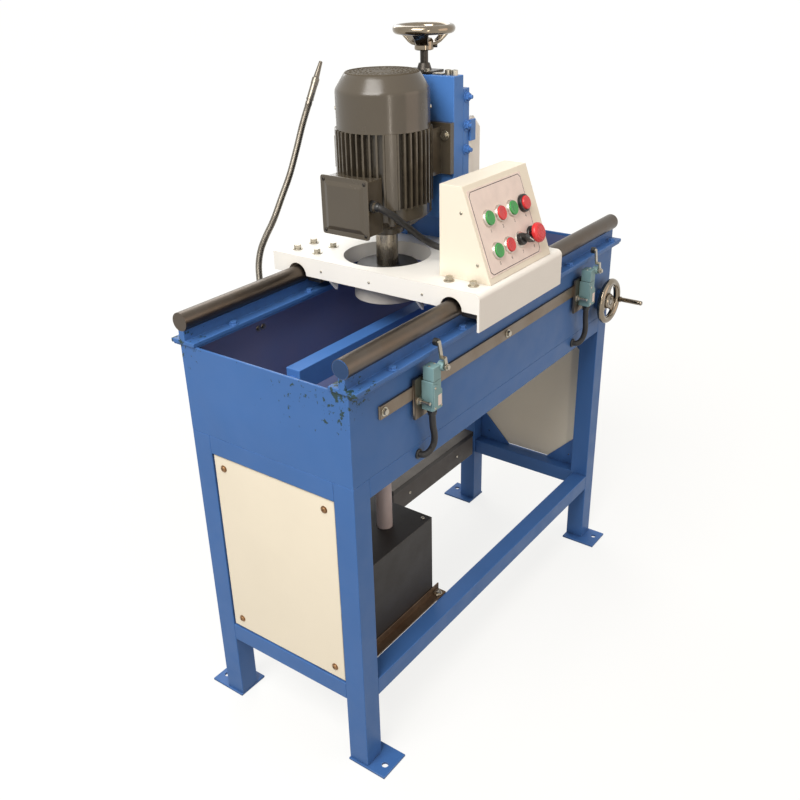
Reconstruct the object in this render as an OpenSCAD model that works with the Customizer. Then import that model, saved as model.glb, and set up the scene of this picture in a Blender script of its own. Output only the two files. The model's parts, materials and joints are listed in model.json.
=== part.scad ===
// Granulator blade sharpener: a welded stand and coolant tray, two guide bars,
// and a carriage with the grinding head.
// Millimetres, Z up, floor at zero, origin amid the four floor bolts.
// X runs along the guide bars, and the operator stands on the -Y side.

/* [Stand] */
// Length over the legs
stand_l = 1016; // [980:4:1080]
// Width over the legs
stand_w = 400; // [392:2:412]
// Height of the seam between stand and tray
seam_z = 664; // [640:2:720]
// Side of a square leg tube
leg_s = 46; // [40:1:48]
// Side of a square rail tube
rail_s = 40; // [34:1:42]
// Wall of the leg and rail tubes
tube_t = 3; // [2:0.5:4]
// Height of the top of the lower rails
lower_z = 203; // [180:1:220]
// Length of a foot plate along X
foot_l = 72; // [66:1:80]
// Width of a foot plate along Y
foot_w = 90; // [84:1:100]
// Thickness of a foot plate
foot_t = 6; // [4:0.5:10]
// Diameter of the floor bolt holes
foot_hole_d = 14; // [10:0.5:18]
// Thickness of the end panels
panel_t = 2; // [1:0.5:3]
// Gap between an end panel and its frame
panel_gap = 3; // [2:0.5:5]
// Side of the triangular corner tabs
tab_s = 95; // [70:1:110]

/* [Tray] */
// Depth of the tray
tray_h = 181; // [170:1:200]
// Thickness of the tray's sheet
wall_t = 4; // [3:0.5:6]
// Diameter of the drain pipe
drain_d = 33; // [26:1:40]

/* [Guide bars] */
// Diameter of the guide bars
bar_d = 36; // [30:1:38]
// Distance between the axes of the bars
bar_gauge = 380; // [374:2:388]
// Height of the bar axes above the tray
bar_rise = 45; // [43:1:50]
// Width of a rail base
base_w = 60; // [54:1:64]
// Thickness of a rail base
base_t = 8; // [6:0.5:10]
// Thickness of the web under a bar
web_t = 14; // [10:0.5:16]

/* [Carriage] */
// Length of the carriage along the bars
car_l = 322; // [314:2:340]
// Width of the carriage across the bars
car_w = 506; // [500:2:512]
// Thickness of the carriage's sheet
car_t = 5; // [4:0.5:6]
// Height of the carriage's top above the bar axes
car_rise = 40; // [38:1:46]
// Depth of the front skirt
skirt_h = 74; // [68:1:76]
// Diameter of the hole for the wheel
hole_d = 180; // [170:1:184]
// Length of a bearing block along its bar
block_l = 84; // [70:1:84]
// Width of a bearing block across its bar
block_w = 90; // [80:1:92]

/* [Console] */
// Width of the console along X
console_w = 234; // [226:2:238]
// Height of the console
console_h = 175; // [165:1:190]
// Diameter of the flush push-button caps
cap_d = 27; // [22:1:29]
// Travel of the push-buttons
cap_travel = 2.8; // [1.5:0.1:2.8]

/* [Head] */
// Radius of the motor over its fins
motor_r = 95; // [88:1:97]
// Height of the motor's finned frame
frame_h = 141; // [130:1:150]
// Distance from the motor axis to its feet
motor_h = 100; // [99:1:104]
// Radius of the fan cover
cover_r = 91.5; // [84:0.5:94]
// Thickness of the head slide
slide_t = 34; // [30:1:38]
// Width of the head slide
slide_w = 194; // [184:1:200]
// Diameter of the lead screw
screw_d = 16; // [12:0.5:18]
// Diameter of the grinding wheel
wheel_d = 140; // [120:1:150]
// Height of the grinding wheel
wheel_h = 55; // [45:1:60]
// Diameter of the top handwheel
hand_d = 124; // [110:1:130]
// Diameter of the front handwheel
front_hand_d = 110; // [100:1:116]

/* [Knife table] */
// Length of the table beam
table_l = 766; // [740:2:780]
// Width of the table beam
table_w = 34; // [30:1:40]
// Height of the table beam
table_h = 46; // [40:1:48]
// Diameter of the trunnions
trunnion_d = 25; // [20:1:28]

/* [Hidden] */
$fn = 48;

// Shared clearances
run_gap = 0.05; // shaft in its bore, on the radius
slide_gap = 0.2; // flat ways
cut = 1; // how far a cutter runs past a face

// Colours
blue = [0.27, 0.45, 0.68];
cream = [0.96, 0.92, 0.83];
white = [0.97, 0.95, 0.91];
steel = [0.55, 0.53, 0.5];
dark = [0.2, 0.19, 0.18];
motor_grey = [0.36, 0.33, 0.29];
chrome = [0.8, 0.78, 0.74];
teal = [0.47, 0.65, 0.65];
red = [0.8, 0.15, 0.15];
green = [0.2, 0.6, 0.3];

// Stand length, stand width, bar gauge and carriage width as photographed.
// Pieces that go together grow by the change from these.
photo_size = [1016, 400, 380, 506];
stand_l_change = stand_l - photo_size[0];
stand_w_change = stand_w - photo_size[1];
gauge_change = bar_gauge - photo_size[2];
car_w_change = car_w - photo_size[3];
gauge = bar_gauge + stand_w_change + car_w_change;
carriage_w = car_w + stand_w_change + gauge_change;
beam_l = table_l + stand_l_change;

// Heights and places along the stand
half_l = stand_l / 2;
half_w = stand_w / 2;
tray_top = seam_z + tray_h;
floor_top = seam_z + wall_t;
bar_z = tray_top + bar_rise;
bar_y = gauge / 2;
bar_over = 4; // bar and base past the tray's ends
base_bolts = 5; // in each row
base_bolt_in = 108; // first base bolt from the near end
base_bolt_end = 28; // last base bolt from the far end
base_bolt_pitch = (stand_l - base_bolt_in - base_bolt_end) / (base_bolts - 1);
base_bolt_out = 13; // base bolts from the web's faces
base_top = tray_top + base_t;
rim_short = 2; // rim behind the edges of a rail base
rim_least = 6; // rim outside the tray wall at least
rim_in = half_w - bar_y + base_w / 2 - rim_short;
rim_out = max(rim_least, bar_y + base_w / 2 - rim_short - half_w);
leg_x = half_l - leg_s / 2;
leg_y = half_w - leg_s / 2;
foot_out = 4; // foot plate past the leg's end face
foot_hole_out = 26; // floor bolt from the leg's side face
foot_hole_y = half_w + foot_hole_out;
upper_z = seam_z - rail_s;
guard_t = 3; // wall of the guard ring round the wheel's hole
block_gap = 14; // between the rear blocks and the guard ring
axis_y = bar_y - block_w / 2 - block_gap - guard_t - hole_d / 2; // motor's axis

// End panels
panel_inset = 3; // panel face behind the leg face
panel_w = stand_w - 2 * leg_s - 2 * panel_gap;
panel_h = upper_z - lower_z - 2 * panel_gap;
panel_mid_z = (upper_z + lower_z) / 2;
panel_screw_in = 24; // screws from the panel's edges
tab_t = 4;
small_screw_r = 2.5;
small_head_r = 5;
small_head_h = 3;

// Coolant tank and its rack
tank_l = 273;
tank_w = 276;
tank_h = 200;
tank_t = 2;
tank_far_in = 326; // tank's far wall from the near end
tank_far_x = -half_l + tank_far_in;
tank_near_x = tank_far_x - tank_l;
lid_t = 3;
bearer_w = 30;
bearer_in = 10; // near bearer inside the tank's near wall
bearer_out = 5; // far bearer outside its far wall
bearer_x = [tank_near_x + bearer_in, tank_far_x + bearer_out];
bearer_t = 6;
angle_h = 18;
angle_t = 3;
rack_bolt_out = 11; // rack bolts from the tank's sides
drain_in = 247; // drain from the near end
drain_x = -half_l + drain_in;
drain_y = -72;
drain_wall = 3;
drain_dip = 10; // pipe below the tank's brim
drain_gap = 1.5; // pipe in the lid's hole
drain_bore_d = drain_d - 2 * drain_wall;

// Electrical box on the rear lower rail
ebox_x = 20;
ebox_in = 2; // behind the rail's outer face
ebox_l = 375;
ebox_w = 80;
ebox_h = 71;
ebox_t = 2;
ebox_hole_d = 22;

// Knife table, worm wheel and worm
table_drop = 61; // table below the tray's brim
tilt_drop = 27; // trunnions below the table's top
table_dy = 2; // table behind the wheel's axis
table_y = axis_y + table_dy;
table_z = tray_top - table_drop;
tilt_z = table_z - tilt_drop;
bearing_t = 24;
bearing_out = 41; // bearings from the ends of the beam
bearing_x = beam_l / 2 + bearing_out;
bearing_w = 60;
bearing_cap = 24; // bearing above the trunnion axis
wormwheel_in = 52; // worm wheel from the far end
wormwheel_x = half_l - wormwheel_in;
wormwheel_t = 16;
wormwheel_r = 30;
wormwheel_teeth = 36;
tooth_gap = 2.6;
tooth_depth = 2;
trunnion_over = 6; // trunnion past the worm wheel
worm_r = 14;
worm_gap = 1;
worm_drop = wormwheel_r + worm_r + worm_gap;
worm_z = tilt_z - worm_drop;
worm_l = 50;
worm_turns = 8;
thread_h = 3; // thread above its root
thread_sink = 0.5; // thread's root inside the shaft
worm_shaft_r = 8;
worm_hole_gap = 4; // shaft in the tray's wall
worm_tail = 60; // end of the worm's shaft behind the table's axis
worm_end_y = table_y + worm_tail;
worm_bearing_t = 20;
worm_bearing_y = worm_end_y - worm_bearing_t;
worm_bearing_w = 40;
flange_t = 6;
flange_r = 25;

// Handwheels
hand_rim_r = 8.5;
hand_mid_r = hand_d / 2 - hand_rim_r;
front_mid_r = front_hand_d / 2 - hand_rim_r;
hand_hub_r = 19;
hand_hub_h = 22;
hand_dish = 39; // top handwheel's rim plane above the foot of its hub
front_dish = 16; // front handwheel's rim plane in front of the foot of its hub
hand_spokes = 3;
hand_first = 60; // angle of the first spoke
hand_spoke_r = 6;
hand_spoke_in = 8; // where a spoke starts inside the hub
hand_gap = 3; // hub in front of its bush
front_hub_y = -half_w - flange_t - hand_gap;
crank_d = 11;
crank_l = 66;
crank_turn = 10; // crank below the hub's level, as an angle
crank_seat = 8; // how deep the crank sits in the rim

// Limit switches
strip_h = 25;
strip_t = 5;
strip_drop = 65; // strip below the tray's brim
strip_z = tray_top - strip_drop;
strip_near_in = 77; // strip's ends from the stand's ends
strip_far_in = 158;
strip_x0 = -half_l + strip_near_in;
strip_x1 = half_l - strip_far_in;
strip_bolt_in = 11;
plate_w = 50;
plate_h = 80;
plate_least = 5;
plate_drop = 13; // plate's middle below the strip's
plate_z = strip_z - plate_drop;
stud_dx = 22; // plate's stud beside the switch
stud_drop = 18;
stud_r = 3;
stud_l = 26;
switch_near_in = 205; // switches from the stand's ends
switch_far_in = 178;
switch_x = [-half_l + switch_near_in, half_l - switch_far_in];
switch_w = 28;
switch_d = 28;
switch_body_h = 58;
switch_head_h = 28;
switch_drop = 38; // switch's foot below the strip's middle
switch_step = 2; // head narrower than the body, on each side
roller_clear = 5; // roller in front of the rail base
roller_back = 13; // roller's rear face behind the switch's front
switch_y = min(
    -half_w - strip_t - plate_least, switch_d - bar_y - base_w / 2 - roller_clear - roller_back
);
plate_t = -half_w - strip_t - switch_y;
switch_z = strip_z - switch_drop;
switch_front_y = switch_y - switch_d;
lever_dx = 18; // lever pivot from the switch's middle
lever_up = 80; // lever pivot above the switch's foot
lever_z = switch_z + lever_up;
lever_t = 3;
lever_w = 8;
lever_out = 5; // lever in front of the switch
lever_y = switch_front_y - lever_out;
lever_boss_r = 9;
lever_boss_l = 12;
lever_boss_in = 10;
lever_eye_r = 6;
lever_low = 20; // where the lever steps back
lever_pin_l = 12;
lever_pin_room = 1; // blind end of the pin's hole
lever_pin_r = 4;
roller_dx = -11; // roller from the pivot
roller_rise = 49;
roller_r = 7;
roller_w = 8;
roller_pin_r = 2.5;
roller_gap = 0.5;
lever_jog = 8; // upper arm behind the lower arm
conduit_r = 6.5;
conduit_path = [
    [0, -14, 0], [0, -14, -12], [1, -14, -25], [4, -13, -40], [9, -12, -55], [13, -10, -70],
    [13, -8, -82], [8, -6, -91], [-1, -4, -96], [-9, -1, -97], [-12, 4, -97], [-12, strip_t + plate_t, -97]
];

// Carriage, drawn where the photograph has it
car_x = -29;
car_z = bar_z + car_rise;
under_z = car_z - car_t;
car_near_x = car_x - car_l / 2;
car_far_x = car_x + car_l / 2;
car_dy = 1; // carriage's middle behind the stand's
car_front_y = -carriage_w / 2 + car_dy;
car_rear_y = carriage_w / 2 + car_dy;
car_bend = 12;
flange_h = 40;
notch_gap = 6;
notch_r = bar_d / 2 + notch_gap;
guard_h = 30;
rib_t = 6;
rib_in = 85; // ribs inside the bars' axes
rib_front_in = 80;
rib_y = [bar_y - rib_in, rib_front_in - bar_y];
rib_l = 36;
rib_h = 59;
rib_root = 38;
block_near_in = 61; // block middles from the carriage's ends
block_far_in = 48;
block_dx = [block_near_in - car_l / 2, car_l / 2 - block_far_in];
block_z = bar_z - bar_d / 2;
block_slot_gap = 5; // web in the block's slot, each side
block_slot = web_t + 2 * block_slot_gap;
block_bolt_x = 26;
block_bolt_y = 27;
block_bolt_l = 12; // thread in the block
block_hole_room = 2; // below the bolt's end
gib_nut_r = 9;
gib_nut_h = 6;
gib_screw_l = 14;

// Hex bolts
bolt_r = 4;
bolt_head_r = 7.5;
bolt_head_h = 5.5;

// Console, a slanted box of sheet
console_dx = 8; // console's middle from the carriage's
console_x = car_x + console_dx;
console_in = 122; // console's back from the carriage's front edge
console_back_y = car_front_y + console_in;
console_top_d = 49;
console_base_d = 114;
console_t = 2;
face_y = console_back_y - console_base_d;
face_run = console_base_d - console_top_d;
face_tilt = atan(face_run / console_h);
face_l = sqrt(face_run * face_run + console_h * console_h);
column_pitch = 43.5;
column_dx = 67; // first column from the console's middle
column_x = console_x - column_dx;
row_s = [116, 54];
bezel_d = cap_d + 5;
bezel_h = 6;
cap_gap = 0.5;
cap_h = 6;
stem_r = 5;
stem_l = 14;
ring_bezel_h = 9;
stop_d = 40;
stop_h = 12;
stop_rise = 14;
stop_travel = 5;
knob_d = 24;
knob_h = 8;
knob_grip_h = 12;
knob_grip_w = 8;
knob_rise = 3.3; // knob above the face
knob_bezel_h = 3;
ring_bezel_over = 3; // ringed bezel wider than the rest
ring_cap_over = 4; // its cap taller than the rest
cap_rest_gap = 0.2; // pressed cap above the face

// Head
axis_dx = 51; // motor's axis from the carriage's middle
axis_x = car_x - axis_dx;
bell_h = 65;
bell_rise = 48; // bell above the carriage
bell_nose_r = 36;
bell_nose_h = 14;
bell_cone_r = 60;
bell_cone_h = 20;
bell_brim_h = 34;
bell_rim = 6; // rim outside the frame's core, and the height of its chamfer
bell_t = 6; // wall of the bell's cone
bell_z = car_z + bell_rise;
frame_z = bell_z + bell_h;
frame_top = frame_z + frame_h;
frame_bore = 60;
frame_core = 82;
fin_count = 44;
fin_t = 3.4;
shield_t = 12;
foot_plate_t = 12;
foot_plate_h = 99;
foot_plate_z = frame_top - foot_plate_h;
foot_web = 16;
foot_web_y = 66;
foot_web_in = 40; // webs start this far from the axis
foot_web_short = 8; // webs below the foot plate's top
pad_w = 22; // flat pads among the fins
pad_turns = [135, 225]; // and where they stand round the axis
cover_h = 73;
cover_dome_h = 31;
cover_shoulder = 20; // how far the cover's cone draws in
cover_top_r = cover_r - cover_shoulder;
cover_edge = 4; // rounding round the cover's top
cover_t = 2;
grille_slots = 24;
grille_in = 30; // slots start this far from the axis
grille_margin = 8; // and end this far inside the rim
grille_w = 5;
shaft_r = 12;
shaft_nose = 28; // shaft below the bell
shaft_tail = 52; // and above the frame
rotor_r = 45;
rotor_room = 12; // round the rotor's ends
fan_r = 70;
fan_hub_r = 22;
fan_h = 36;
fan_disc_t = 3;
fan_blades = 8;
fan_blade_in = 15;
fan_blade_l = 57;
fan_blade_h = 34;
arbor_r = 22.5;
arbor_flange_r = 62;
arbor_flange_t = 10;
arbor_gap = 3; // below the bell
wheel_z = tray_top;
wheel_wall = 22;
wheel_web = 15;
wheel_bore_r = 16;
arbor_z = wheel_z + wheel_h;
slide_x = axis_x + motor_h;
slide_back = slide_x + slide_t;
slide_rise = 60; // slide's lower end above the carriage
slide_l = 279;
slide_z = car_z + slide_rise;
slide_top = slide_z + slide_l;
saddle_t = 22;
saddle_back = slide_back + saddle_t;
saddle_drop = 26; // saddle below the top of the slide
saddle_top = slide_top - saddle_drop;
way_depth = 15;
way_root = 90;
way_tip = 110;
screw_dx = 6; // screw behind the slide's back
screw_x = slide_back + screw_dx;
screw_r = screw_d / 2;
screw_room = 6; // round the screw in the slide's slot
screw_slot = screw_d + 2 * screw_room;
screw_up = 20; // screw's end above the slide's
screw_z = slide_z + screw_up;
nut_wall = 4;
nut_w = screw_d + 2 * nut_wall;
nut_h = 30;
nut_drop = 110; // nut below the top of the saddle
nut_z = saddle_top - nut_drop;
bridge_t = 5;
bridge_w = 72;
bridge_in = 3; // bridge behind the slide's front
collar_h = 12;
collar_foot_r = 15;
collar_top_r = 11;
hand_rise = 24; // top handwheel above the collar
hand_z = slide_top + bridge_t + collar_h + hand_rise;
bracket_t = 10;
bracket_h = 255;
bracket_top = car_z + bracket_h;
bracket_in = 4; // ribs inside the carriage's far edge
bracket_rib_in = 6; // ribs inside the bracket's sides
bracket_rib_t = 8;
bracket_rib_y = slide_w / 2 - bracket_rib_in - bracket_rib_t / 2; // ribs from the motor's axis
bracket_chamfer = 25;
gib_up = [195, 242, 297]; // gib screws above the carriage

// Terminal box and motor cable
tbox_y = axis_y;
tbox_w = 104;
tbox_h = 104;
tbox_drop = 41; // box's foot below the finned frame
tbox_reach = 126; // box's face from the motor's axis
tbox_l = 60;
tbox_deep = 23;
tbox_z = frame_z - tbox_drop;
tbox_front = axis_x - tbox_reach;
tbox_t = 4;
lid_over = 5;
lid_plate = 3;
lid_raise = 3;
lid_bevel = 12;
gland_r = 9;
gland_l = 14;
gland_in = 12; // gland behind the box's face
gland_up = 58;
gland_x = tbox_front + gland_in;
gland_z = tbox_z + gland_up;
cable_r = 6.5;
cable_gap = 0.4; // between the cable's ends and the housings
cable_in_dx = 43; // cable's entry from the console's middle
cable_in_up = 28;
cable_start = [gland_x, tbox_y - tbox_w / 2 - gland_l - cable_gap, gland_z];
cable_end = [console_x - cable_in_dx, console_back_y + cable_gap, car_z + cable_in_up];
cable_run = cable_end - cable_start;
// Shares of the way from the gland to the console, along X, Y and Z
cable_bends = [
    [0, 0, 0], [0, 0.05, 0], [0.015, 0.095, 0.03], [0.07, 0.134, 0.088], [0.16, 0.164, 0.157],
    [0.27, 0.194, 0.265], [0.36, 0.213, 0.363], [0.47, 0.243, 0.47], [0.585, 0.263, 0.588],
    [0.692, 0.302, 0.706], [0.8, 0.352, 0.814], [0.877, 0.431, 0.902], [0.931, 0.549, 0.961],
    [0.969, 0.688, 0.99], [0.992, 0.826, 1], [1, 0.925, 1], [1, 1, 1]
];
cable_path = [
    for (s = cable_bends) cable_start + [s[0] * cable_run[0], s[1] * cable_run[1], s[2] * cable_run[2]]
];

// Gooseneck hose and its nozzle, on the outside of the rear wall
hose_in = 282; // hose's foot from the near end
hose_out = 12; // hose behind the carriage
hose_up = 5; // hose's foot above the tray's brim
hose_x = -half_l + hose_in;
hose_y = car_rear_y + hose_out;
hose_r = 6;
hose_bore_r = 3.5;
hose_rib = 0.7;
hose_ribs = 100;
hose_sides = 8;
hose_z0 = tray_top + hose_up;
hose_bends = [
    [0, 0], [0, 30], [2, 58], [12, 86], [30, 110], [57, 139], [86, 179], [116, 221], [142, 268], [166, 315],
    [188, 352]
];
hose_path = [for (p = hose_bends) [hose_x + p[0], hose_y, hose_z0 + p[1]]];
hose_end = hose_path[len(hose_path) - 1];
hose_last = hose_end - hose_path[len(hose_path) - 2];
nozzle_lean = atan2(hose_last[0], hose_last[2]);
nozzle_r = 8;
nozzle_sleeve = 58;
nozzle_tip = 36;
nozzle_taper = 8; // sleeve's foot, a cone
nozzle_step = 2;
nozzle_hole_r = 2;
nozzle_throat = 4;
hose_plate_w = 120;
hose_plate_h = 44;
hose_plate_t = 5;
hose_plate_dx = 39; // plate's middle from the hose's foot
hose_plate_drop = 75; // plate's foot below the tray's brim
hose_plate_x = hose_x - hose_plate_dx;
hose_plate_z = tray_top - hose_plate_drop;
hose_arm_over = 15; // arm past the hose
hose_arm_h = 22;
hose_arm_w = 30;
hose_fitting_r = 11;

// Points between two hand-chosen points of a route, smooth through all of them
function route_point(pts, u) =
    let (
        last = len(pts) - 1,
        i = min(floor(u * last), last - 1),
        t = u * last - i,
        p0 = pts[max(i - 1, 0)],
        p1 = pts[i],
        p2 = pts[i + 1],
        p3 = pts[min(i + 2, last)]
    )
    0.5 * (2 * p1 + (p2 - p0) * t + (2 * p0 - 5 * p1 + 4 * p2 - p3) * t * t
        + (3 * p1 - p0 - 3 * p2 + p3) * t * t * t);

function unit(v) = v / norm(v);

function route_dir(pts, u) = unit(route_point(pts, min(u + 0.004, 1)) - route_point(pts, max(u - 0.004, 0)));

// One ring of points square to a route
function ring(pts, u, radius, sides) =
    let (
        d = route_dir(pts, u),
        side = unit(cross(d, abs(d[2]) < 0.9 ? [0, 0, 1] : [0, 1, 0])),
        other = cross(side, d),
        c = route_point(pts, u)
    )
    [for (k = [0:sides - 1]) c + radius * (cos(360 * k / sides) * side + sin(360 * k / sides) * other)];

// A closed solid through rings of equal sides, the last joined to the first where looped
module skin(rings, looped = false) {
    sides = len(rings[0]);
    count = len(rings);
    steps = looped ? count : count - 1;
    walls = [
        for (i = [0:steps - 1], k = [0:sides - 1], half = [0:1])
            let (
                n = (i + 1) % count,
                k2 = (k + 1) % sides,
                a = i * sides + k,
                b = i * sides + k2,
                c = n * sides + k2,
                d = n * sides + k
            )
            half == 0 ? [a, b, c] : [a, c, d]
    ];
    caps = looped ? [] : [
        for (k = [1:sides - 2]) [0, k + 1, k],
        for (k = [1:sides - 2]) let (s = (count - 1) * sides) [s, s + k, s + k + 1]
    ];
    polyhedron([for (r = rings, p = r) p], concat(walls, caps), convexity = 8);
}

// A plain round cord along a route
module cord(pts, radius, steps, sides) {
    skin([for (i = [0:steps]) ring(pts, i / steps, radius, sides)]);
}

// Mirrored pairs
module both_y() {
    children();
    mirror([0, 1, 0]) children();
}

module both_x() {
    children();
    mirror([1, 0, 0]) children();
}

// Square tube along Z from its lower end
module tube_z(s, h) {
    linear_extrude(h)
        difference() {
            square(s, center = true);
            square(s - 2 * tube_t, center = true);
        }
}

// Cylinders along X and along -Y
module rod_x(r, l) {
    rotate([0, 90, 0]) cylinder(r = r, h = l);
}

module rod_front(r, l) {
    rotate([90, 0, 0]) cylinder(r = r, h = l);
}

// Hex bolt standing on a face, shank going down
module hex_bolt(shank) {
    cylinder(r = bolt_head_r, h = bolt_head_h, $fn = 6);
    if (shank > 0)
        translate([0, 0, -shank]) cylinder(r = bolt_r, h = shank);
}

module legs() {
    color(blue)
        for (x = [-leg_x, leg_x], y = [-leg_y, leg_y])
            translate([x, y, foot_t]) tube_z(leg_s, seam_z - foot_t);
}

module long_rail(z) {
    translate([-half_l + leg_s, half_w - rail_s / 2, z + rail_s / 2])
        rotate([0, 90, 0]) tube_z(rail_s, stand_l - 2 * leg_s);
}

module short_rail(z) {
    translate([half_l - rail_s / 2, half_w - leg_s, z + rail_s / 2])
        rotate([90, 0, 0]) tube_z(rail_s, stand_w - 2 * leg_s);
}

module rails() {
    color(blue)
        for (z = [upper_z, lower_z - rail_s]) {
            both_y() long_rail(z);
            both_x() short_rail(z);
        }
}

module foot_plates() {
    color(blue)
        both_x() both_y()
            difference() {
                translate([half_l + foot_out - foot_l, half_w - leg_s, 0]) cube([foot_l, foot_w, foot_t]);
                translate([leg_x, foot_hole_y, -cut]) cylinder(d = foot_hole_d, h = foot_t + 2 * cut);
            }
}

// Places of the screws of one end panel, on the +X end
module at_panel_screws(x) {
    for (y = [-1, 1], z = [-1, 1])
        translate([x, y * (panel_w / 2 - panel_screw_in), panel_mid_z + z * (panel_h / 2 - panel_screw_in)])
            rotate([0, -90, 0]) children();
}

module corner_tabs() {
    tab_x = half_l - panel_inset - panel_t - tab_t;
    corner_y = half_w - leg_s;
    color(blue)
        both_x()
            difference() {
                for (y = [-1, 1], z = [[lower_z, 1], [upper_z, -1]])
                    translate([tab_x, 0, 0]) rotate([90, 0, 90]) linear_extrude(tab_t)
                        polygon([
                            [y * corner_y, z[0]], [y * (corner_y - tab_s), z[0]],
                            [y * corner_y, z[0] + z[1] * tab_s]
                        ]);
                at_panel_screws(half_l) cylinder(r = small_screw_r, h = leg_s);
            }
}

module end_panels() {
    color(cream)
        both_x()
            difference() {
                translate([half_l - panel_inset - panel_t, -panel_w / 2, panel_mid_z - panel_h / 2])
                    cube([panel_t, panel_w, panel_h]);
                at_panel_screws(half_l) cylinder(r = small_screw_r, h = leg_s);
            }
}

module panel_screws() {
    color(steel)
        both_x()
            at_panel_screws(half_l - panel_inset) {
                cylinder(r = small_screw_r, h = panel_t + tab_t);
                translate([0, 0, -small_head_h]) cylinder(r = small_head_r, h = small_head_h);
            }
}

// Places of the bolts on the flanges of a rail base, on the +Y side
module at_base_bolts() {
    for (i = [0:base_bolts - 1], y = [-1, 1])
        translate([
            -half_l + base_bolt_in + i * base_bolt_pitch, bar_y + y * (web_t / 2 + base_bolt_out), base_top
        ]) children();
}

module tray() {
    color(blue)
        difference() {
            union() {
                translate([-half_l, -half_w, seam_z]) cube([stand_l, stand_w, tray_h]);
                both_y()
                    translate([-half_l, half_w - cut, tray_top - wall_t])
                        cube([stand_l, rim_out + cut, wall_t]);
            }
            translate([-half_l + wall_t, -half_w + wall_t, floor_top])
                cube([stand_l - 2 * wall_t, stand_w - 2 * wall_t, tray_h - 2 * wall_t]);
            translate([-half_l + wall_t, -half_w + rim_in, floor_top])
                cube([stand_l - 2 * wall_t, stand_w - 2 * rim_in, tray_h]);
            translate([drain_x, drain_y, seam_z - cut]) cylinder(d = drain_d, h = wall_t + 2 * cut);
            translate([wormwheel_x, -half_w + wall_t + cut, worm_z])
                rod_front(worm_shaft_r + worm_hole_gap, wall_t + 2 * cut);
            both_y() at_base_bolts() translate([0, 0, -base_t - wall_t - cut])
                cylinder(r = bolt_r, h = 2 * base_t);
        }
}

module rail_bases() {
    color(blue)
        both_y()
            difference() {
                union() {
                    translate([-half_l - bar_over, bar_y - base_w / 2, tray_top])
                        cube([stand_l + 2 * bar_over, base_w, base_t]);
                    translate([-half_l - bar_over, bar_y - web_t / 2, tray_top + base_t])
                        cube([stand_l + 2 * bar_over, web_t, bar_rise - base_t]);
                }
                translate([-stand_l, bar_y, bar_z]) rod_x(bar_d / 2, 2 * stand_l);
                at_base_bolts() translate([0, 0, -base_t - cut]) cylinder(r = bolt_r, h = 2 * base_t);
            }
}

module guide_bars() {
    color(steel)
        both_y() translate([-half_l - bar_over, bar_y, bar_z]) rod_x(bar_d / 2, stand_l + 2 * bar_over);
}

module stand_bolts() {
    color(steel) {
        both_y() at_base_bolts() hex_bolt(base_t + wall_t);
        for (x = bearer_x, y = [-1, 1])
            translate([x, y * (tank_w / 2 + rack_bolt_out), lower_z + angle_t]) hex_bolt(0);
        for (x = [strip_x0 + strip_bolt_in, 0])
            translate([x, -half_w - strip_t, strip_z]) rotate([90, 0, 0]) hex_bolt(0);
        for (x = switch_x)
            translate([x - stud_dx, switch_y, strip_z - stud_drop]) rotate([90, 0, 0]) {
                hex_bolt(0);
                cylinder(r = stud_r, h = stud_l);
            }
    }
}

module tank() {
    color(dark)
        translate([tank_near_x, -tank_w / 2, lower_z])
            difference() {
                cube([tank_l, tank_w, tank_h]);
                translate([tank_t, tank_t, tank_t])
                    cube([tank_l - 2 * tank_t, tank_w - 2 * tank_t, tank_h]);
            }
}

module tank_lid() {
    color(dark)
        difference() {
            translate([tank_near_x, -tank_w / 2, lower_z + tank_h]) cube([tank_l, tank_w, lid_t]);
            translate([drain_x, drain_y, lower_z + tank_h - cut])
                cylinder(d = drain_d + 2 * drain_gap, h = lid_t + 2 * cut);
        }
}

module tank_rack() {
    inner_y = half_w - rail_s;
    rack_x = bearer_x[0] - bearer_w / 2;
    rack_l = bearer_x[1] + bearer_w / 2 - rack_x;
    color(steel) {
        for (x = bearer_x)
            translate([x - bearer_w / 2, -inner_y, lower_z - bearer_t])
                cube([bearer_w, 2 * inner_y, bearer_t]);
        both_y()
            translate([rack_x, tank_w / 2, lower_z]) {
                cube([rack_l, angle_t, angle_h]);
                cube([rack_l, inner_y - tank_w / 2, angle_t]);
            }
    }
}

module drain_pipe() {
    pipe_z = lower_z + tank_h - drain_dip;
    color(white)
        translate([drain_x, drain_y, pipe_z])
            difference() {
                cylinder(d = drain_d, h = floor_top - pipe_z);
                translate([0, 0, -cut]) cylinder(d = drain_bore_d, h = tray_h + seam_z);
            }
}

module electrical_box() {
    color(dark)
        translate([ebox_x, half_w - ebox_in - ebox_w, lower_z])
            difference() {
                cube([ebox_l, ebox_w, ebox_h]);
                translate([ebox_t, ebox_t, ebox_t])
                    cube([ebox_l - 2 * ebox_t, ebox_w - 2 * ebox_t, ebox_h - 2 * ebox_t]);
                translate([ebox_l - 2 * ebox_t, ebox_w / 2, ebox_h / 2]) rod_x(ebox_hole_d / 2, 4 * ebox_t);
            }
}

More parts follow.
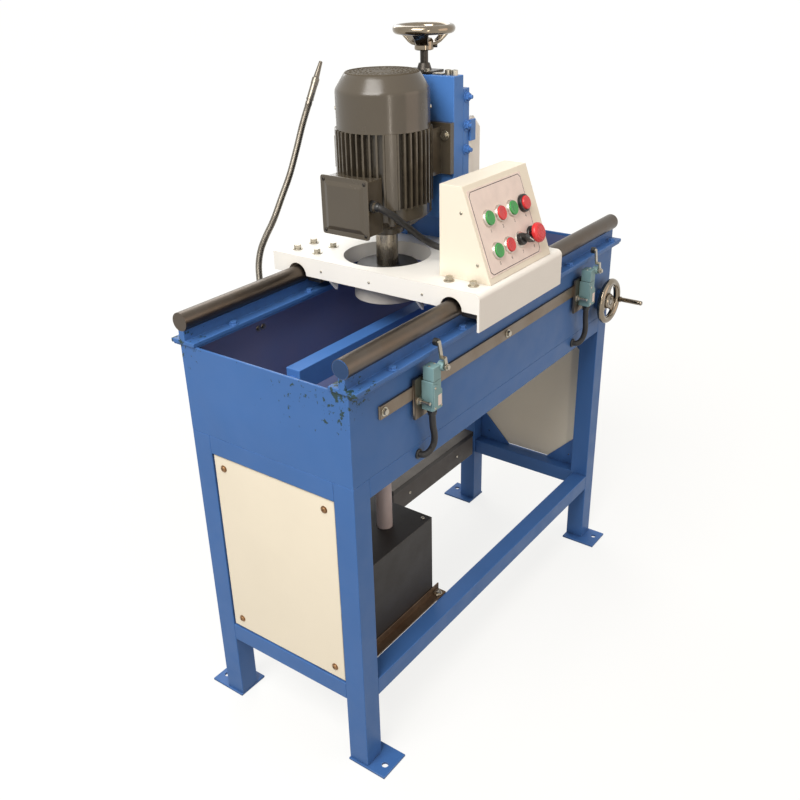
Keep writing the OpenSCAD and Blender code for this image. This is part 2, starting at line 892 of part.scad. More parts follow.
module table_bearings() {
    foot_h = tilt_z + bearing_cap - floor_top;
    color(blue) {
        both_x()
            difference() {
                translate([bearing_x - bearing_t / 2, table_y - bearing_w / 2, floor_top])
                    cube([bearing_t, bearing_w, foot_h]);
                translate([0, table_y, tilt_z]) rod_x(trunnion_d / 2 + run_gap, stand_l);
            }
        difference() {
            translate([wormwheel_x - worm_bearing_w / 2, worm_bearing_y, floor_top])
                cube([worm_bearing_w, worm_bearing_t, worm_z + worm_bearing_w / 2 - floor_top]);
            translate([wormwheel_x, stand_w, worm_z]) rod_front(worm_shaft_r + run_gap, 2 * stand_w);
        }
        difference() {
            translate([wormwheel_x, -half_w, worm_z]) rod_front(flange_r, flange_t);
            translate([wormwheel_x, stand_w, worm_z]) rod_front(worm_shaft_r + run_gap, 2 * stand_w);
        }
    }
}

module knife_table() {
    far_end = wormwheel_x + wormwheel_t / 2 + trunnion_over;
    color(blue)
        union() {
            translate([-beam_l / 2, table_y - table_w / 2, table_z - table_h])
                cube([beam_l, table_w, table_h]);
            translate([-bearing_x - bearing_t / 2, table_y, tilt_z])
                rod_x(trunnion_d / 2, far_end + bearing_x + bearing_t / 2);
        }
}

module worm_wheel() {
    color(steel)
        translate([wormwheel_x - wormwheel_t / 2, table_y, tilt_z]) rotate([0, 90, 0])
            linear_extrude(wormwheel_t)
                difference() {
                    circle(wormwheel_r);
                    circle(trunnion_d / 2);
                    for (i = [0:wormwheel_teeth - 1])
                        rotate(360 * i / wormwheel_teeth) translate([wormwheel_r, 0])
                            square([2 * tooth_depth, tooth_gap], center = true);
                }
}

module worm_shaft() {
    pitch = worm_l / worm_turns;
    crest = worm_r - worm_shaft_r + thread_sink;
    color(steel) {
        translate([wormwheel_x, worm_end_y, worm_z])
            rod_front(worm_shaft_r, worm_end_y - front_hub_y + hand_hub_h);
    }
    color(steel)
        translate([wormwheel_x, table_y + worm_l / 2, worm_z]) rotate([90, 0, 0])
            rotate_extrude()
                for (i = [0:worm_turns - 1])
                    translate([worm_shaft_r - thread_sink, i * pitch])
                        polygon([
                            [0, 0], [0, pitch], [crest - thread_h, pitch], [crest, 0.7 * pitch],
                            [crest, 0.3 * pitch], [crest - thread_h, 0]
                        ]);
}

// Dished handwheel with its hub's foot at the origin and its axis along Z
module handwheel(bore_r, mid_r, dish) {
    spoke_rise = dish - hand_hub_h / 2;
    spoke_run = mid_r - hand_spoke_in;
    spoke_l = sqrt(spoke_run * spoke_run + spoke_rise * spoke_rise);
    difference() {
        union() {
            cylinder(r = hand_hub_r, h = hand_hub_h);
            translate([0, 0, dish]) rotate_extrude() translate([mid_r, 0]) circle(hand_rim_r, $fn = 32);
            for (i = [0:hand_spokes - 1])
                rotate(hand_first + 360 * i / hand_spokes) translate([hand_spoke_in, 0, hand_hub_h / 2])
                    rotate([0, 90 - atan(spoke_rise / spoke_run), 0]) cylinder(r = hand_spoke_r, h = spoke_l);
        }
        translate([0, 0, -cut]) cylinder(r = bore_r, h = 2 * hand_dish);
    }
}

module front_handwheel() {
    color(chrome)
        translate([wormwheel_x, front_hub_y, worm_z]) rotate([90, 0, 0])
            difference() {
                handwheel(worm_shaft_r, front_mid_r, front_dish);
                rotate(-crank_turn) translate([front_mid_r, 0, front_dish + hand_rim_r - crank_seat])
                    cylinder(d = crank_d, h = crank_l);
            }
}

module crank_handle() {
    color(chrome)
        translate([wormwheel_x, front_hub_y - front_dish - hand_rim_r + crank_seat, worm_z])
            rotate([0, crank_turn, 0]) translate([front_mid_r, 0, 0]) rod_front(crank_d / 2, crank_l);
}

module top_handwheel() {
    color(chrome) translate([screw_x, axis_y, hand_z]) handwheel(screw_r, hand_mid_r, hand_dish);
}

module switch_strip() {
    color(steel) {
        translate([strip_x0, -half_w - strip_t, strip_z - strip_h / 2])
            cube([strip_x1 - strip_x0, strip_t, strip_h]);
        for (x = switch_x)
            translate([x - plate_w * 0.66, -half_w - strip_t - plate_t, plate_z - plate_h / 2])
                cube([plate_w, plate_t, plate_h]);
    }
}

module switch_bodies() {
    head_w = switch_w - 2 * switch_step;
    color(teal)
        for (x = switch_x)
            difference() {
                union() {
                    translate([x - switch_w / 2, switch_front_y, switch_z])
                        cube([switch_w, switch_d, switch_body_h]);
                    translate([x - head_w / 2, switch_front_y + switch_step, switch_z + switch_body_h])
                        cube([head_w, switch_d - 2 * switch_step, switch_head_h]);
                    translate([x + lever_dx, switch_front_y + lever_boss_in, lever_z])
                        rod_front(lever_boss_r, lever_boss_l);
                }
                translate([x + lever_dx, lever_y + lever_pin_l + lever_pin_room, lever_z])
                    rod_front(lever_pin_r + run_gap, 2 * lever_pin_l);
            }
}

// Lever in its own frame: pivot at the origin, -Y is the operator's side
module lever() {
    lean = atan(roller_dx / roller_rise);
    low = lever_low;
    arm = sqrt(roller_dx * roller_dx + roller_rise * roller_rise);
    translate([0, lever_t / 2, 0]) rod_front(lever_eye_r, lever_t);
    translate([0, lever_pin_l, 0]) rod_front(lever_pin_r, lever_pin_l);
    rotate([0, lean, 0]) {
        translate([-lever_w / 2, -lever_t / 2, 0]) cube([lever_w, lever_t, low]);
        translate([-lever_w / 2, -lever_t / 2, low - lever_t])
            cube([lever_w, lever_jog + lever_t, lever_t]);
        translate([-lever_w / 2, lever_jog - lever_t / 2, low - lever_t])
            cube([lever_w, lever_t, arm - low + lever_t]);
        translate([0, lever_jog + lever_t / 2, arm]) rod_front(lever_w / 2, lever_t);
        translate([0, lever_jog + lever_t / 2 + roller_w + 2 * roller_gap, arm])
            rod_front(roller_pin_r, roller_w + 4 * roller_gap);
    }
}

module place_lever(i) {
    translate([switch_x[i] + lever_dx, lever_y, lever_z]) children();
}

module near_lever() {
    color(steel) place_lever(0) lever();
}

module far_lever() {
    color(steel) place_lever(1) lever();
}

module roller() {
    translate([roller_dx, lever_jog + lever_t / 2 + roller_gap + roller_w, roller_rise])
        difference() {
            rod_front(roller_r, roller_w);
            translate([0, cut, 0]) rod_front(roller_pin_r + run_gap, roller_w + 2 * cut);
        }
}

module near_roller() {
    color(dark) place_lever(0) roller();
}

module far_roller() {
    color(dark) place_lever(1) roller();
}

module switch_conduits() {
    color(dark)
        for (x = switch_x)
            translate([x, switch_y, switch_z]) cord(conduit_path, conduit_r, 30, 10);
}

module hose_bracket() {
    top = hose_plate_z + hose_plate_h;
    color(steel)
        union() {
            translate([hose_plate_x - hose_plate_w / 2, half_w, hose_plate_z])
                cube([hose_plate_w, hose_plate_t, hose_plate_h]);
            translate([hose_x - hose_arm_w / 2, half_w, top - hose_arm_h])
                cube([hose_arm_w, hose_y + hose_arm_over - half_w, hose_arm_h]);
            translate([hose_x, hose_y, top - cut]) cylinder(r = hose_fitting_r, h = hose_z0 - top + cut);
        }
}

module gooseneck_hose() {
    rings = 2 * hose_ribs;
    bore = 30;
    outer = [
        for (i = [0:rings]) ring(hose_path, i / rings, hose_r - (i % 2) * hose_rib, hose_sides)
    ];
    inner = [for (i = [bore:-1:0]) ring(hose_path, i / bore, hose_bore_r, hose_sides)];
    color(steel) skin(concat(outer, inner), looped = true);
}

module spray_nozzle() {
    color(steel)
        translate(hose_end) rotate([0, nozzle_lean, 0])
            rotate_extrude()
                polygon([
                    [hose_bore_r, 0], [hose_r, 0], [nozzle_r, nozzle_taper], [nozzle_r, nozzle_sleeve],
                    [nozzle_r - nozzle_step, nozzle_sleeve + nozzle_step],
                    [hose_bore_r, nozzle_sleeve + nozzle_tip],
                    [nozzle_hole_r, nozzle_sleeve + nozzle_tip], [nozzle_hole_r, nozzle_sleeve],
                    [hose_bore_r, nozzle_sleeve - nozzle_throat]
                ]);
}

// Side view of the carriage's fold, front to the left, with a round bend at the top front
module fold(front, rear, low, high, bend) {
    translate([front, low]) square([rear - front, high - low - bend]);
    translate([front + bend, low]) square([rear - front - bend, high - low]);
    translate([front + bend, high - bend]) circle(bend);
}

module carriage_fold() {
    difference() {
        fold(car_front_y, car_rear_y, car_z - skirt_h, car_z, car_bend);
        fold(car_front_y + car_t, car_rear_y - car_t, car_z - skirt_h - cut, under_z, car_bend - car_t);
        translate([0, car_z - skirt_h - cut]) square([carriage_w, skirt_h + cut - flange_h]);
    }
}

module carriage_end() {
    intersection() {
        fold(car_front_y, car_rear_y, car_z - skirt_h, car_z, car_bend);
        translate([-carriage_w, car_z - flange_h]) square([2 * carriage_w, flange_h]);
    }
}

// Extrude a side view along X
module along_x(x, l) {
    translate([x, 0, 0]) rotate([90, 0, 90]) linear_extrude(l) children();
}

module carriage_plate() {
    color(white)
        difference() {
            union() {
                along_x(car_near_x, car_l) carriage_fold();
                along_x(car_near_x, car_t) carriage_end();
                along_x(car_far_x - car_t, car_t) carriage_end();
                translate([axis_x, axis_y, under_z - guard_h])
                    cylinder(d = hole_d + 2 * guard_t, h = guard_h + cut);
                for (y = rib_y)
                    translate([car_near_x + car_t - cut, y + rib_t / 2, 0])
                        rotate([90, 0, 0]) linear_extrude(rib_t) polygon([
                            [0, under_z + cut], [rib_l + cut, under_z + cut], [rib_l / 2, under_z - rib_h],
                            [0, under_z - rib_root]
                        ]);
            }
            translate([axis_x, axis_y, under_z - guard_h - cut])
                cylinder(d = hole_d, h = guard_h + car_t + 3 * cut, $fn = 96);
            both_y() translate([-stand_l, bar_y, bar_z]) rod_x(notch_r, 2 * stand_l);
            at_block_bolts() translate([0, 0, -car_t - cut]) cylinder(r = bolt_r, h = 3 * car_t);
        }
}

// Places of the bearing blocks, and of their bolts on the carriage's top
module at_blocks() {
    for (dx = block_dx, y = [-bar_y, bar_y])
        translate([car_x + dx, y, 0]) children();
}

module at_block_bolts() {
    at_blocks()
        for (x = [-block_bolt_x, block_bolt_x], y = [-block_bolt_y, block_bolt_y])
            translate([x, y, car_z]) children();
}

module bearing_blocks() {
    color(steel)
        difference() {
            at_blocks()
                translate([-block_l / 2, -block_w / 2, block_z]) cube([block_l, block_w, under_z - block_z]);
            both_y() {
                translate([-stand_l, bar_y, bar_z]) rod_x(bar_d / 2 + run_gap, 2 * stand_l);
                translate([-stand_l, bar_y - block_slot / 2, block_z - cut])
                    cube([2 * stand_l, block_slot, bar_z - block_z]);
            }
            at_block_bolts() translate([0, 0, -car_t - block_bolt_l - block_hole_room])
                cylinder(r = bolt_r, h = 4 * block_bolt_l);
        }
}

module carriage_bolts() {
    color(steel) {
        at_block_bolts() hex_bolt(car_t + block_bolt_l);
        for (up = gib_up)
            translate([slide_back + saddle_t / 2, axis_y - slide_w / 2, car_z + up]) rotate([90, 0, 0]) {
                cylinder(r = gib_nut_r, h = gib_nut_h, $fn = 6);
                cylinder(r = bolt_r, h = gib_screw_l);
            }
    }
}

// Place on the console's slanted face: s runs up the slope, Z points out of the face
module on_face(x, s) {
    translate([x, face_y + s * sin(face_tilt), car_z + s * cos(face_tilt)])
        rotate([90 - face_tilt, 0, 0]) children();
}

module at_key(column, row) {
    on_face(column_x + column * column_pitch, row_s[row]) children();
}

module console_housing() {
    slope = face_run / console_h;
    skew = console_t / cos(face_tilt);
    roof = console_h - console_t;
    color(white)
        difference() {
            along_x(console_x - console_w / 2, console_w)
                polygon([
                    [console_back_y, car_z], [console_back_y, car_z + console_h],
                    [console_back_y - console_top_d, car_z + console_h], [face_y, car_z]
                ]);
            along_x(console_x - console_w / 2 + console_t, console_w - 2 * console_t)
                polygon([
                    [console_back_y - console_t, car_z - cut], [console_back_y - console_t, car_z + roof],
                    [face_y + skew + roof * slope, car_z + roof], [face_y + skew - cut * slope, car_z - cut]
                ]);
            for (c = [0:3], r = [0:1])
                at_key(c, r) translate([0, 0, -stem_l]) cylinder(r = stem_r + cap_gap, h = 2 * stem_l);
        }
}

module bezel(outer, inner, h) {
    difference() {
        cylinder(d = outer, h = h);
        translate([0, 0, -cut]) cylinder(d = inner, h = h + 2 * cut);
    }
}

module button_bezels() {
    color(white) {
        for (k = [[0, 0], [1, 0], [2, 0], [0, 1], [1, 1]])
            at_key(k[0], k[1]) bezel(bezel_d, cap_d + 2 * cap_gap, bezel_h);
        at_key(3, 0) bezel(bezel_d + ring_bezel_over, cap_d + 2 * cap_gap, ring_bezel_h);
        at_key(2, 1) bezel(bezel_d, 2 * (stem_r + cap_gap), knob_bezel_h);
        at_key(3, 1) bezel(bezel_d, 2 * (stem_r + cap_gap), bezel_h);
    }
}

// Push-button with its cap's foot one travel above the face
module push_button(rise) {
    translate([0, 0, cap_travel + cap_rest_gap]) cylinder(d = cap_d, h = rise);
    translate([0, 0, -stem_l]) cylinder(r = stem_r, h = stem_l + cap_travel + cut);
}

module green_button_left() {
    color(green) at_key(0, 0) push_button(cap_h);
}

module green_button_right() {
    color(green) at_key(2, 0) push_button(cap_h);
}

module green_button_lower() {
    color(green) at_key(0, 1) push_button(cap_h);
}

module red_button_upper() {
    color(red) at_key(1, 0) push_button(cap_h);
}

module red_button_lower() {
    color(red) at_key(1, 1) push_button(cap_h);
}

module ringed_button() {
    color(red) at_key(3, 0) push_button(cap_h + ring_cap_over);
}

module selector_knob() {
    color(dark)
        at_key(2, 1) {
            translate([0, 0, knob_rise]) cylinder(d = knob_d, h = knob_h);
            translate([-knob_d / 2, -knob_grip_w / 2, knob_rise + knob_h])
                cube([knob_d, knob_grip_w, knob_grip_h]);
            translate([0, 0, -stem_l]) cylinder(r = stem_r, h = stem_l + knob_rise + cut);
        }
}

module stop_button() {
    color(red)
        at_key(3, 1) {
            translate([0, 0, stop_rise]) cylinder(d = stop_d, h = stop_h);
            translate([0, 0, -stem_l]) cylinder(r = stem_r, h = stem_l + stop_rise + cut);
        }
}

// Outline of the dovetail in plan, about the head's middle line
module dovetail(grow, depth) {
    polygon([
        [slide_back - cut, axis_y - way_root / 2 - grow], [slide_back, axis_y - way_root / 2 - grow],
        [slide_back + depth, axis_y - way_tip / 2 - grow], [slide_back + depth, axis_y + way_tip / 2 + grow],
        [slide_back, axis_y + way_root / 2 + grow], [slide_back - cut, axis_y + way_root / 2 + grow]
    ]);
}

module head_slide() {
    color(blue)
        translate([0, 0, slide_z]) linear_extrude(slide_top - slide_z)
            difference() {
                union() {
                    translate([slide_x, axis_y - slide_w / 2]) square([slide_t, slide_w]);
                    dovetail(0, way_depth);
                }
                translate([screw_x - screw_slot / 2, axis_y - screw_slot / 2])
                    square([4 * way_depth, screw_slot]);
            }
}

module column_saddle() {
    color(blue)
        difference() {
            union() {
                translate([0, 0, car_z]) linear_extrude(saddle_top - car_z)
                    difference() {
                        translate([slide_back + slide_gap, axis_y - slide_w / 2])
                            square([saddle_t - slide_gap, slide_w]);
                        dovetail(slide_gap, way_depth + slide_gap);
                    }
                translate([screw_x - nut_w / 2, axis_y - nut_w / 2, nut_z])
                    cube([saddle_back - cut - screw_x + nut_w / 2, nut_w, nut_h]);
            }
            translate([screw_x, axis_y, car_z]) cylinder(r = screw_r + run_gap, h = slide_top);
        }
}

module column_bracket() {
    rib_x = saddle_back + bracket_t;
    rib_end = car_far_x - bracket_in;
    color(white) {
        translate([saddle_back, axis_y - slide_w / 2, car_z]) cube([bracket_t, slide_w, bracket_top - car_z]);
        for (side = [-1, 1])
            translate([0, axis_y + side * bracket_rib_y + bracket_rib_t / 2, 0])
                rotate([90, 0, 0]) linear_extrude(bracket_rib_t)
                polygon([
                    [rib_x, car_z], [rib_end, car_z], [rib_end, bracket_top - bracket_chamfer],
                    [rib_end - bracket_chamfer, bracket_top], [rib_x, bracket_top]
                ]);
    }
}

module screw_bridge() {
    color(steel)
        difference() {
            union() {
                translate([slide_x + bridge_in, axis_y - bridge_w / 2, slide_top])
                    cube([saddle_back - slide_x - bridge_in, bridge_w, bridge_t]);
                translate([screw_x, axis_y, slide_top + bridge_t])
                    cylinder(r1 = collar_foot_r, r2 = collar_top_r, h = collar_h);
            }
            translate([screw_x, axis_y, slide_top - cut]) cylinder(r = screw_r + run_gap, h = 3 * collar_h);
        }
}

module lead_screw() {
    color(steel)
        translate([screw_x, axis_y, screw_z]) cylinder(r = screw_r, h = hand_z + hand_hub_h - screw_z);
}

module on_axis(z) {
    translate([axis_x, axis_y, z]) children();
}

module motor_frame() {
    color(motor_grey)
        difference() {
            union() {
                on_axis(frame_z) linear_extrude(frame_h)
                    intersection() {
                        circle(motor_r, $fn = 96);
                        union() {
                            circle(frame_core, $fn = 96);
                            for (i = [0:fin_count - 1])
                                rotate(360 * (i + 0.5) / fin_count)
                                    translate([0, -fin_t / 2]) square([motor_r + cut, fin_t]);
                            for (a = pad_turns)
                                rotate(a) translate([0, -pad_w / 2]) square([motor_r + cut, pad_w]);
                        }
                    }
                translate([slide_x - foot_plate_t, axis_y - slide_w / 2, foot_plate_z])
                    cube([foot_plate_t, slide_w, foot_plate_h]);
                for (s = [-1, 1])
                    translate([axis_x + foot_web_in, axis_y + s * foot_web_y - foot_web / 2, foot_plate_z])
                        cube([motor_h - foot_web_in, foot_web, foot_plate_h - foot_web_short]);
            }
            on_axis(frame_z - cut) cylinder(r = frame_bore, h = frame_h - shield_t + cut);
            on_axis(frame_z) cylinder(r = shaft_r + run_gap, h = 2 * frame_h);
        }
}

module lower_end_bell() {
    color(motor_grey)
        on_axis(bell_z)
            rotate_extrude($fn = 96)
                polygon([
                    [shaft_r + run_gap, 0], [bell_nose_r, 0], [bell_nose_r, bell_nose_h],
                    [bell_cone_r, bell_cone_h], [frame_core, bell_brim_h],
                    [frame_core + bell_rim, bell_brim_h + bell_rim],
                    [frame_core + bell_rim, bell_h], [frame_bore, bell_h], [frame_bore, bell_brim_h + bell_t],
                    [bell_nose_r + bell_t, bell_cone_h + bell_t],
                    [shaft_r + run_gap, bell_cone_h + bell_t / 2]
                ]);
}

module fan_cover() {
    top = cover_h + cover_dome_h;
    color(motor_grey)
        on_axis(frame_top)
            difference() {
                rotate_extrude($fn = 96)
                    polygon([
                        [cover_r, 0], [cover_r, cover_h],
                        [cover_top_r + cover_edge, top - cover_edge - cover_t / 2],
                        [cover_top_r - cover_edge, top], [0, top], [0, top - cover_t],
                        [cover_top_r - cover_edge - cover_t / 2, top - cover_t],
                        [cover_top_r + cover_t, top - 3 * cover_t],
                        [cover_r - cover_t, cover_h - cover_t / 2], [cover_r - cover_t, 0]
                    ]);
                for (i = [0:grille_slots - 1])
                    rotate(360 * i / grille_slots) translate([grille_in, -grille_w / 2, top - 2 * cover_t])
                        cube([cover_top_r - grille_margin - grille_in, grille_w, 4 * cover_t]);
            }
}

module terminal_box() {
    color(motor_grey)
        difference() {
            union() {
                translate([tbox_front, tbox_y - tbox_w / 2, tbox_z]) cube([tbox_l, tbox_w, tbox_h]);
                translate([gland_x, tbox_y - tbox_w / 2, gland_z]) rod_front(gland_r, gland_l);
            }
            on_axis(tbox_z - cut) cylinder(r = motor_r, h = tbox_h + 2 * cut, $fn = 96);
            translate([tbox_front - cut, tbox_y - tbox_w / 2 + tbox_t, tbox_z + tbox_t])
                cube([tbox_deep + cut, tbox_w - 2 * tbox_t, tbox_h - 2 * tbox_t]);
        }
}

module terminal_lid() {
    w = tbox_w + 2 * lid_over;
    h = tbox_h + 2 * lid_over;
    color(motor_grey)
        translate([tbox_front, tbox_y, tbox_z + tbox_h / 2]) {
            translate([-lid_plate, -w / 2, -h / 2]) cube([lid_plate, w, h]);
            translate([-lid_plate - lid_raise, -w / 2 + lid_bevel, -h / 2 + lid_bevel])
                cube([lid_raise, w - 2 * lid_bevel, h - 2 * lid_bevel]);
        }
}

module motor_cable() {
    color(dark) cord(cable_path, cable_r, 40, 10);
}

module rotor_shaft() {
    color(steel)
        on_axis(0) {
            translate([0, 0, bell_z - shaft_nose])
                cylinder(r = shaft_r, h = frame_top + shaft_tail - bell_z + shaft_nose);
            translate([0, 0, frame_z + rotor_room])
                cylinder(r = rotor_r, h = frame_h - shield_t - 2 * rotor_room);
        }
}

module wheel_arbor() {
    color(steel)
        on_axis(0)
            difference() {
                union() {
                    translate([0, 0, arbor_z]) cylinder(r = arbor_flange_r, h = arbor_flange_t);
                    translate([0, 0, arbor_z]) cylinder(r = arbor_r, h = bell_z - arbor_gap - arbor_z);
                    translate([0, 0, arbor_z - wheel_web]) cylinder(r = wheel_bore_r, h = wheel_web + cut);
                }
                translate([0, 0, bell_z - shaft_nose]) cylinder(r = shaft_r, h = 2 * shaft_nose);
            }
}

module motor_fan() {
    fan_z = frame_top + shield_t;
    color(dark)
        on_axis(fan_z)
            difference() {
                union() {
                    cylinder(r = fan_hub_r, h = fan_h);
                    cylinder(r = fan_r, h = fan_disc_t);
                    for (i = [0:fan_blades - 1])
                        rotate(360 * i / fan_blades) translate([fan_blade_in, -fan_disc_t / 2, 0])
                            cube([fan_blade_l, fan_disc_t, fan_blade_h]);
                }
                translate([0, 0, -cut]) cylinder(r = shaft_r, h = 2 * fan_h);
            }
}

module grinding_wheel() {
    color(white)
        on_axis(wheel_z)
            difference() {
                cylinder(d = wheel_d, h = wheel_h, $fn = 96);
                translate([0, 0, -cut]) cylinder(r = wheel_d / 2 - wheel_wall, h = wheel_h - wheel_web + cut);
                translate([0, 0, -cut]) cylinder(r = wheel_bore_r, h = wheel_h + 2 * cut);
            }
}

legs();
rails();
foot_plates();
corner_tabs();
end_panels();
panel_screws();
tray();
rail_bases();
guide_bars();
stand_bolts();
tank();
tank_lid();
tank_rack();
drain_pipe();
electrical_box();
table_bearings();
hose_bracket();
gooseneck_hose();
spray_nozzle();
switch_strip();
switch_bodies();
switch_conduits();
knife_table();
worm_wheel();
worm_shaft();
front_handwheel();
crank_handle();
near_lever();
far_lever();
near_roller();
far_roller();
carriage_plate();
bearing_blocks();
carriage_bolts();
console_housing();
button_bezels();
column_bracket();
column_saddle();
green_button_left();
green_button_right();
green_button_lower();
red_button_upper();
red_button_lower();
ringed_button();
selector_knob();
stop_button();
head_slide();
screw_bridge();
motor_frame();
lower_end_bell();
fan_cover();
terminal_box();
terminal_lid();
motor_cable();
rotor_shaft();
wheel_arbor();
motor_fan();
grinding_wheel();
lead_screw();
top_handwheel();
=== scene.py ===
"""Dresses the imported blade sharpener: paint, bare metal, small fittings, cables, and the stage under it."""

import json
import math

import bmesh
import bpy
from mathutils import Matrix, Vector


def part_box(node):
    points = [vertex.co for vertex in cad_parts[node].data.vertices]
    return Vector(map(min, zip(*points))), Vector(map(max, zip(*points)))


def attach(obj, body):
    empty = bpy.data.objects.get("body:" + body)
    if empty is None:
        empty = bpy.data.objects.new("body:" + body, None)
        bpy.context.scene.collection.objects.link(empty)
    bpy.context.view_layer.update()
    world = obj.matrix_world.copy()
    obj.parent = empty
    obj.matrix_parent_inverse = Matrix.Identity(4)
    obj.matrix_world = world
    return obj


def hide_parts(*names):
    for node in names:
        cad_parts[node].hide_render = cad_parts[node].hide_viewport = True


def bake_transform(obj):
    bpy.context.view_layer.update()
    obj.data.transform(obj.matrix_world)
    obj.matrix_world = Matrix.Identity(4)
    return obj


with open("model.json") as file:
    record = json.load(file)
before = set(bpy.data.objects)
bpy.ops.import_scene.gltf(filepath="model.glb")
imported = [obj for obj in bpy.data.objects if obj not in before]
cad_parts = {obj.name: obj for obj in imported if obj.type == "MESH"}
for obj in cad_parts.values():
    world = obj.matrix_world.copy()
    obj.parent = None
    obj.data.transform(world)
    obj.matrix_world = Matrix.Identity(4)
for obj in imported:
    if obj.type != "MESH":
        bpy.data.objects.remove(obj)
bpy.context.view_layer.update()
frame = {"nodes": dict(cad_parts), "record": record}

bl_info = {
    "name": "Blade sharpener",
    "version": (1, 0, 0),
    "blender": (4, 5, 0),
    "location": "View3D > Sidebar > Sharpener",
    "description": "Dresses the solids of a blade sharpener for a studio picture",
    "category": "Object",
}

METRES = 0.001  # pieces are modelled in millimetres and end up in metres


def srgb(red, green, blue):
    """Linear colour of a colour as a picture shows it, from 0 to 255."""

    def line(value):
        part = value / 255
        return part / 12.92 if part <= 0.04045 else ((part + 0.055) / 1.055) ** 2.4

    return (line(red), line(green), line(blue))


def span(node):
    """Lowest and highest corner of a CAD node, in millimetres."""
    low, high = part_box(node)
    return low / METRES, high / METRES


def middle(node):
    """Centre of a CAD node's box, in millimetres."""
    low, high = span(node)
    return (low + high) / 2


class SharpenerColours(bpy.types.PropertyGroup):
    """Colours of the paints, plastics and metals."""

    blue: bpy.props.FloatVectorProperty(
        name="Stand blue", description="Paint of the stand, tray and column",
        subtype="COLOR", min=0, max=1, default=srgb(66, 109, 170))
    cream: bpy.props.FloatVectorProperty(
        name="Panel cream", description="Paint of the end panels",
        subtype="COLOR", min=0, max=1, default=srgb(249, 238, 216))
    white: bpy.props.FloatVectorProperty(
        name="Carriage white", description="Paint of the carriage, console and bracket",
        subtype="COLOR", min=0, max=1, default=srgb(250, 247, 240))
    motor: bpy.props.FloatVectorProperty(
        name="Motor grey", description="Paint of the motor",
        subtype="COLOR", min=0, max=1, default=srgb(82, 74, 62))
    # Oiled steel, darkened further as a painted dark reflection of the surroundings
    steel: bpy.props.FloatVectorProperty(
        name="Oiled steel", description="Ground steel of the guide bars",
        subtype="COLOR", min=0, max=1, default=srgb(98, 90, 82))
    # Darker than plating is: a painted dark reflection, so that the white surroundings reflect mid brown-grey
    chrome: bpy.props.FloatVectorProperty(
        name="Plated steel", description="Plating of the handwheels and the crank",
        subtype="COLOR", min=0, max=1, default=srgb(142, 131, 115))
    teal: bpy.props.FloatVectorProperty(
        name="Switch teal", description="Cases of the limit switches",
        subtype="COLOR", min=0, max=1, default=srgb(128, 162, 164))
    red: bpy.props.FloatVectorProperty(
        name="Button red", description="Red push-buttons",
        subtype="COLOR", min=0, max=1, default=srgb(216, 50, 52))
    green: bpy.props.FloatVectorProperty(
        name="Button green", description="Green push-buttons",
        subtype="COLOR", min=0, max=1, default=srgb(56, 154, 72))


class SharpenerSizes(bpy.types.PropertyGroup):
    """Sizes of the fittings that only the dressed model has."""

    tube_round: bpy.props.FloatProperty(
        name="Tube corner", description="Corner radius of the square tubes",
        subtype="DISTANCE", unit="LENGTH", default=0.004, min=0.0005, max=0.008)
    sheet_round: bpy.props.FloatProperty(
        name="Sheet edge", description="Edge radius of folded and cut sheet",
        subtype="DISTANCE", unit="LENGTH", default=0.0012, min=0.0002, max=0.003)
    casting_round: bpy.props.FloatProperty(
        name="Casting edge", description="Edge radius of machined castings",
        subtype="DISTANCE", unit="LENGTH", default=0.0015, min=0.0002, max=0.004)
    bolt_across: bpy.props.FloatProperty(
        name="Bolt head", description="Width across the flats of the hex bolts",
        subtype="DISTANCE", unit="LENGTH", default=0.013, min=0.008, max=0.019)
    hose_ribs: bpy.props.IntProperty(
        name="Hose ribs", description="Ribs along the gooseneck hose", default=150, min=60, max=200)


# Mesh helpers, all in millimetres


def moved(x, y, z):
    """Placement at a point, unturned."""
    return Matrix.Translation((x, y, z))


def rotated(degrees, axis):
    """Placement at the origin, turned about one axis."""
    return Matrix.Rotation(math.radians(degrees), 4, axis)


# Turns of a placement whose Z is to point to the front, the back, an end or down
FRONT = rotated(90, "X")
BACK = rotated(-90, "X")
NEAR = rotated(-90, "Y")
FAR = rotated(90, "Y")
DOWN = rotated(180, "X")


def pointed(way):
    """Turn of a placement whose Z is to point along a direction."""
    return way.to_track_quat("Z", "Y").to_matrix().to_4x4()


def along(start, end):
    """Placement whose Z runs from start to end, with its origin midway."""
    start, end = Vector(start), Vector(end)
    return Matrix.Translation((start + end) / 2) @ pointed(end - start)


def rod(bm, start, end, radius, sides):
    """Round bar between two points."""
    depth = (Vector(end) - Vector(start)).length
    bmesh.ops.create_cone(
        bm, cap_ends=True, segments=sides, radius1=radius, radius2=radius, depth=depth,
        matrix=along(start, end))


def block(bm, low, high):
    """Box between two corners."""
    low, high = Vector(low), Vector(high)
    place = Matrix.Translation((low + high) / 2) @ Matrix.Diagonal((*(high - low), 1.0))
    return bmesh.ops.create_cube(bm, size=1.0, matrix=place)["verts"]


def edges_of(verts):
    """All edges between these vertices."""
    kept = set(verts)
    return [e for e in {e for v in verts for e in v.link_edges} if set(e.verts) <= kept]


def soften(bm, edges, width, segments=2):
    """Round some edges."""
    bmesh.ops.bevel(
        bm, geom=list(edges), offset=width, offset_type="OFFSET", segments=segments, profile=0.5,
        affect="EDGES", clamp_overlap=True, material=-1)


def soft_block(bm, low, high, width, segments=2):
    """Box with all its edges rounded."""
    verts = block(bm, low, high)
    soften(bm, edges_of(verts), width, segments)


def lathe(bm, profile, place, steps=48):
    """Turn a profile of (radius, height) points about the placement's Z."""
    verts = [bm.verts.new(place @ Vector((radius, 0, height))) for radius, height in profile]
    edges = [bm.edges.new(pair) for pair in zip(verts, verts[1:])]
    bmesh.ops.spin(
        bm, geom=verts + edges, cent=place.translation, axis=place.to_3x3() @ Vector((0, 0, 1)),
        angle=2 * math.pi, steps=steps, use_merge=True)


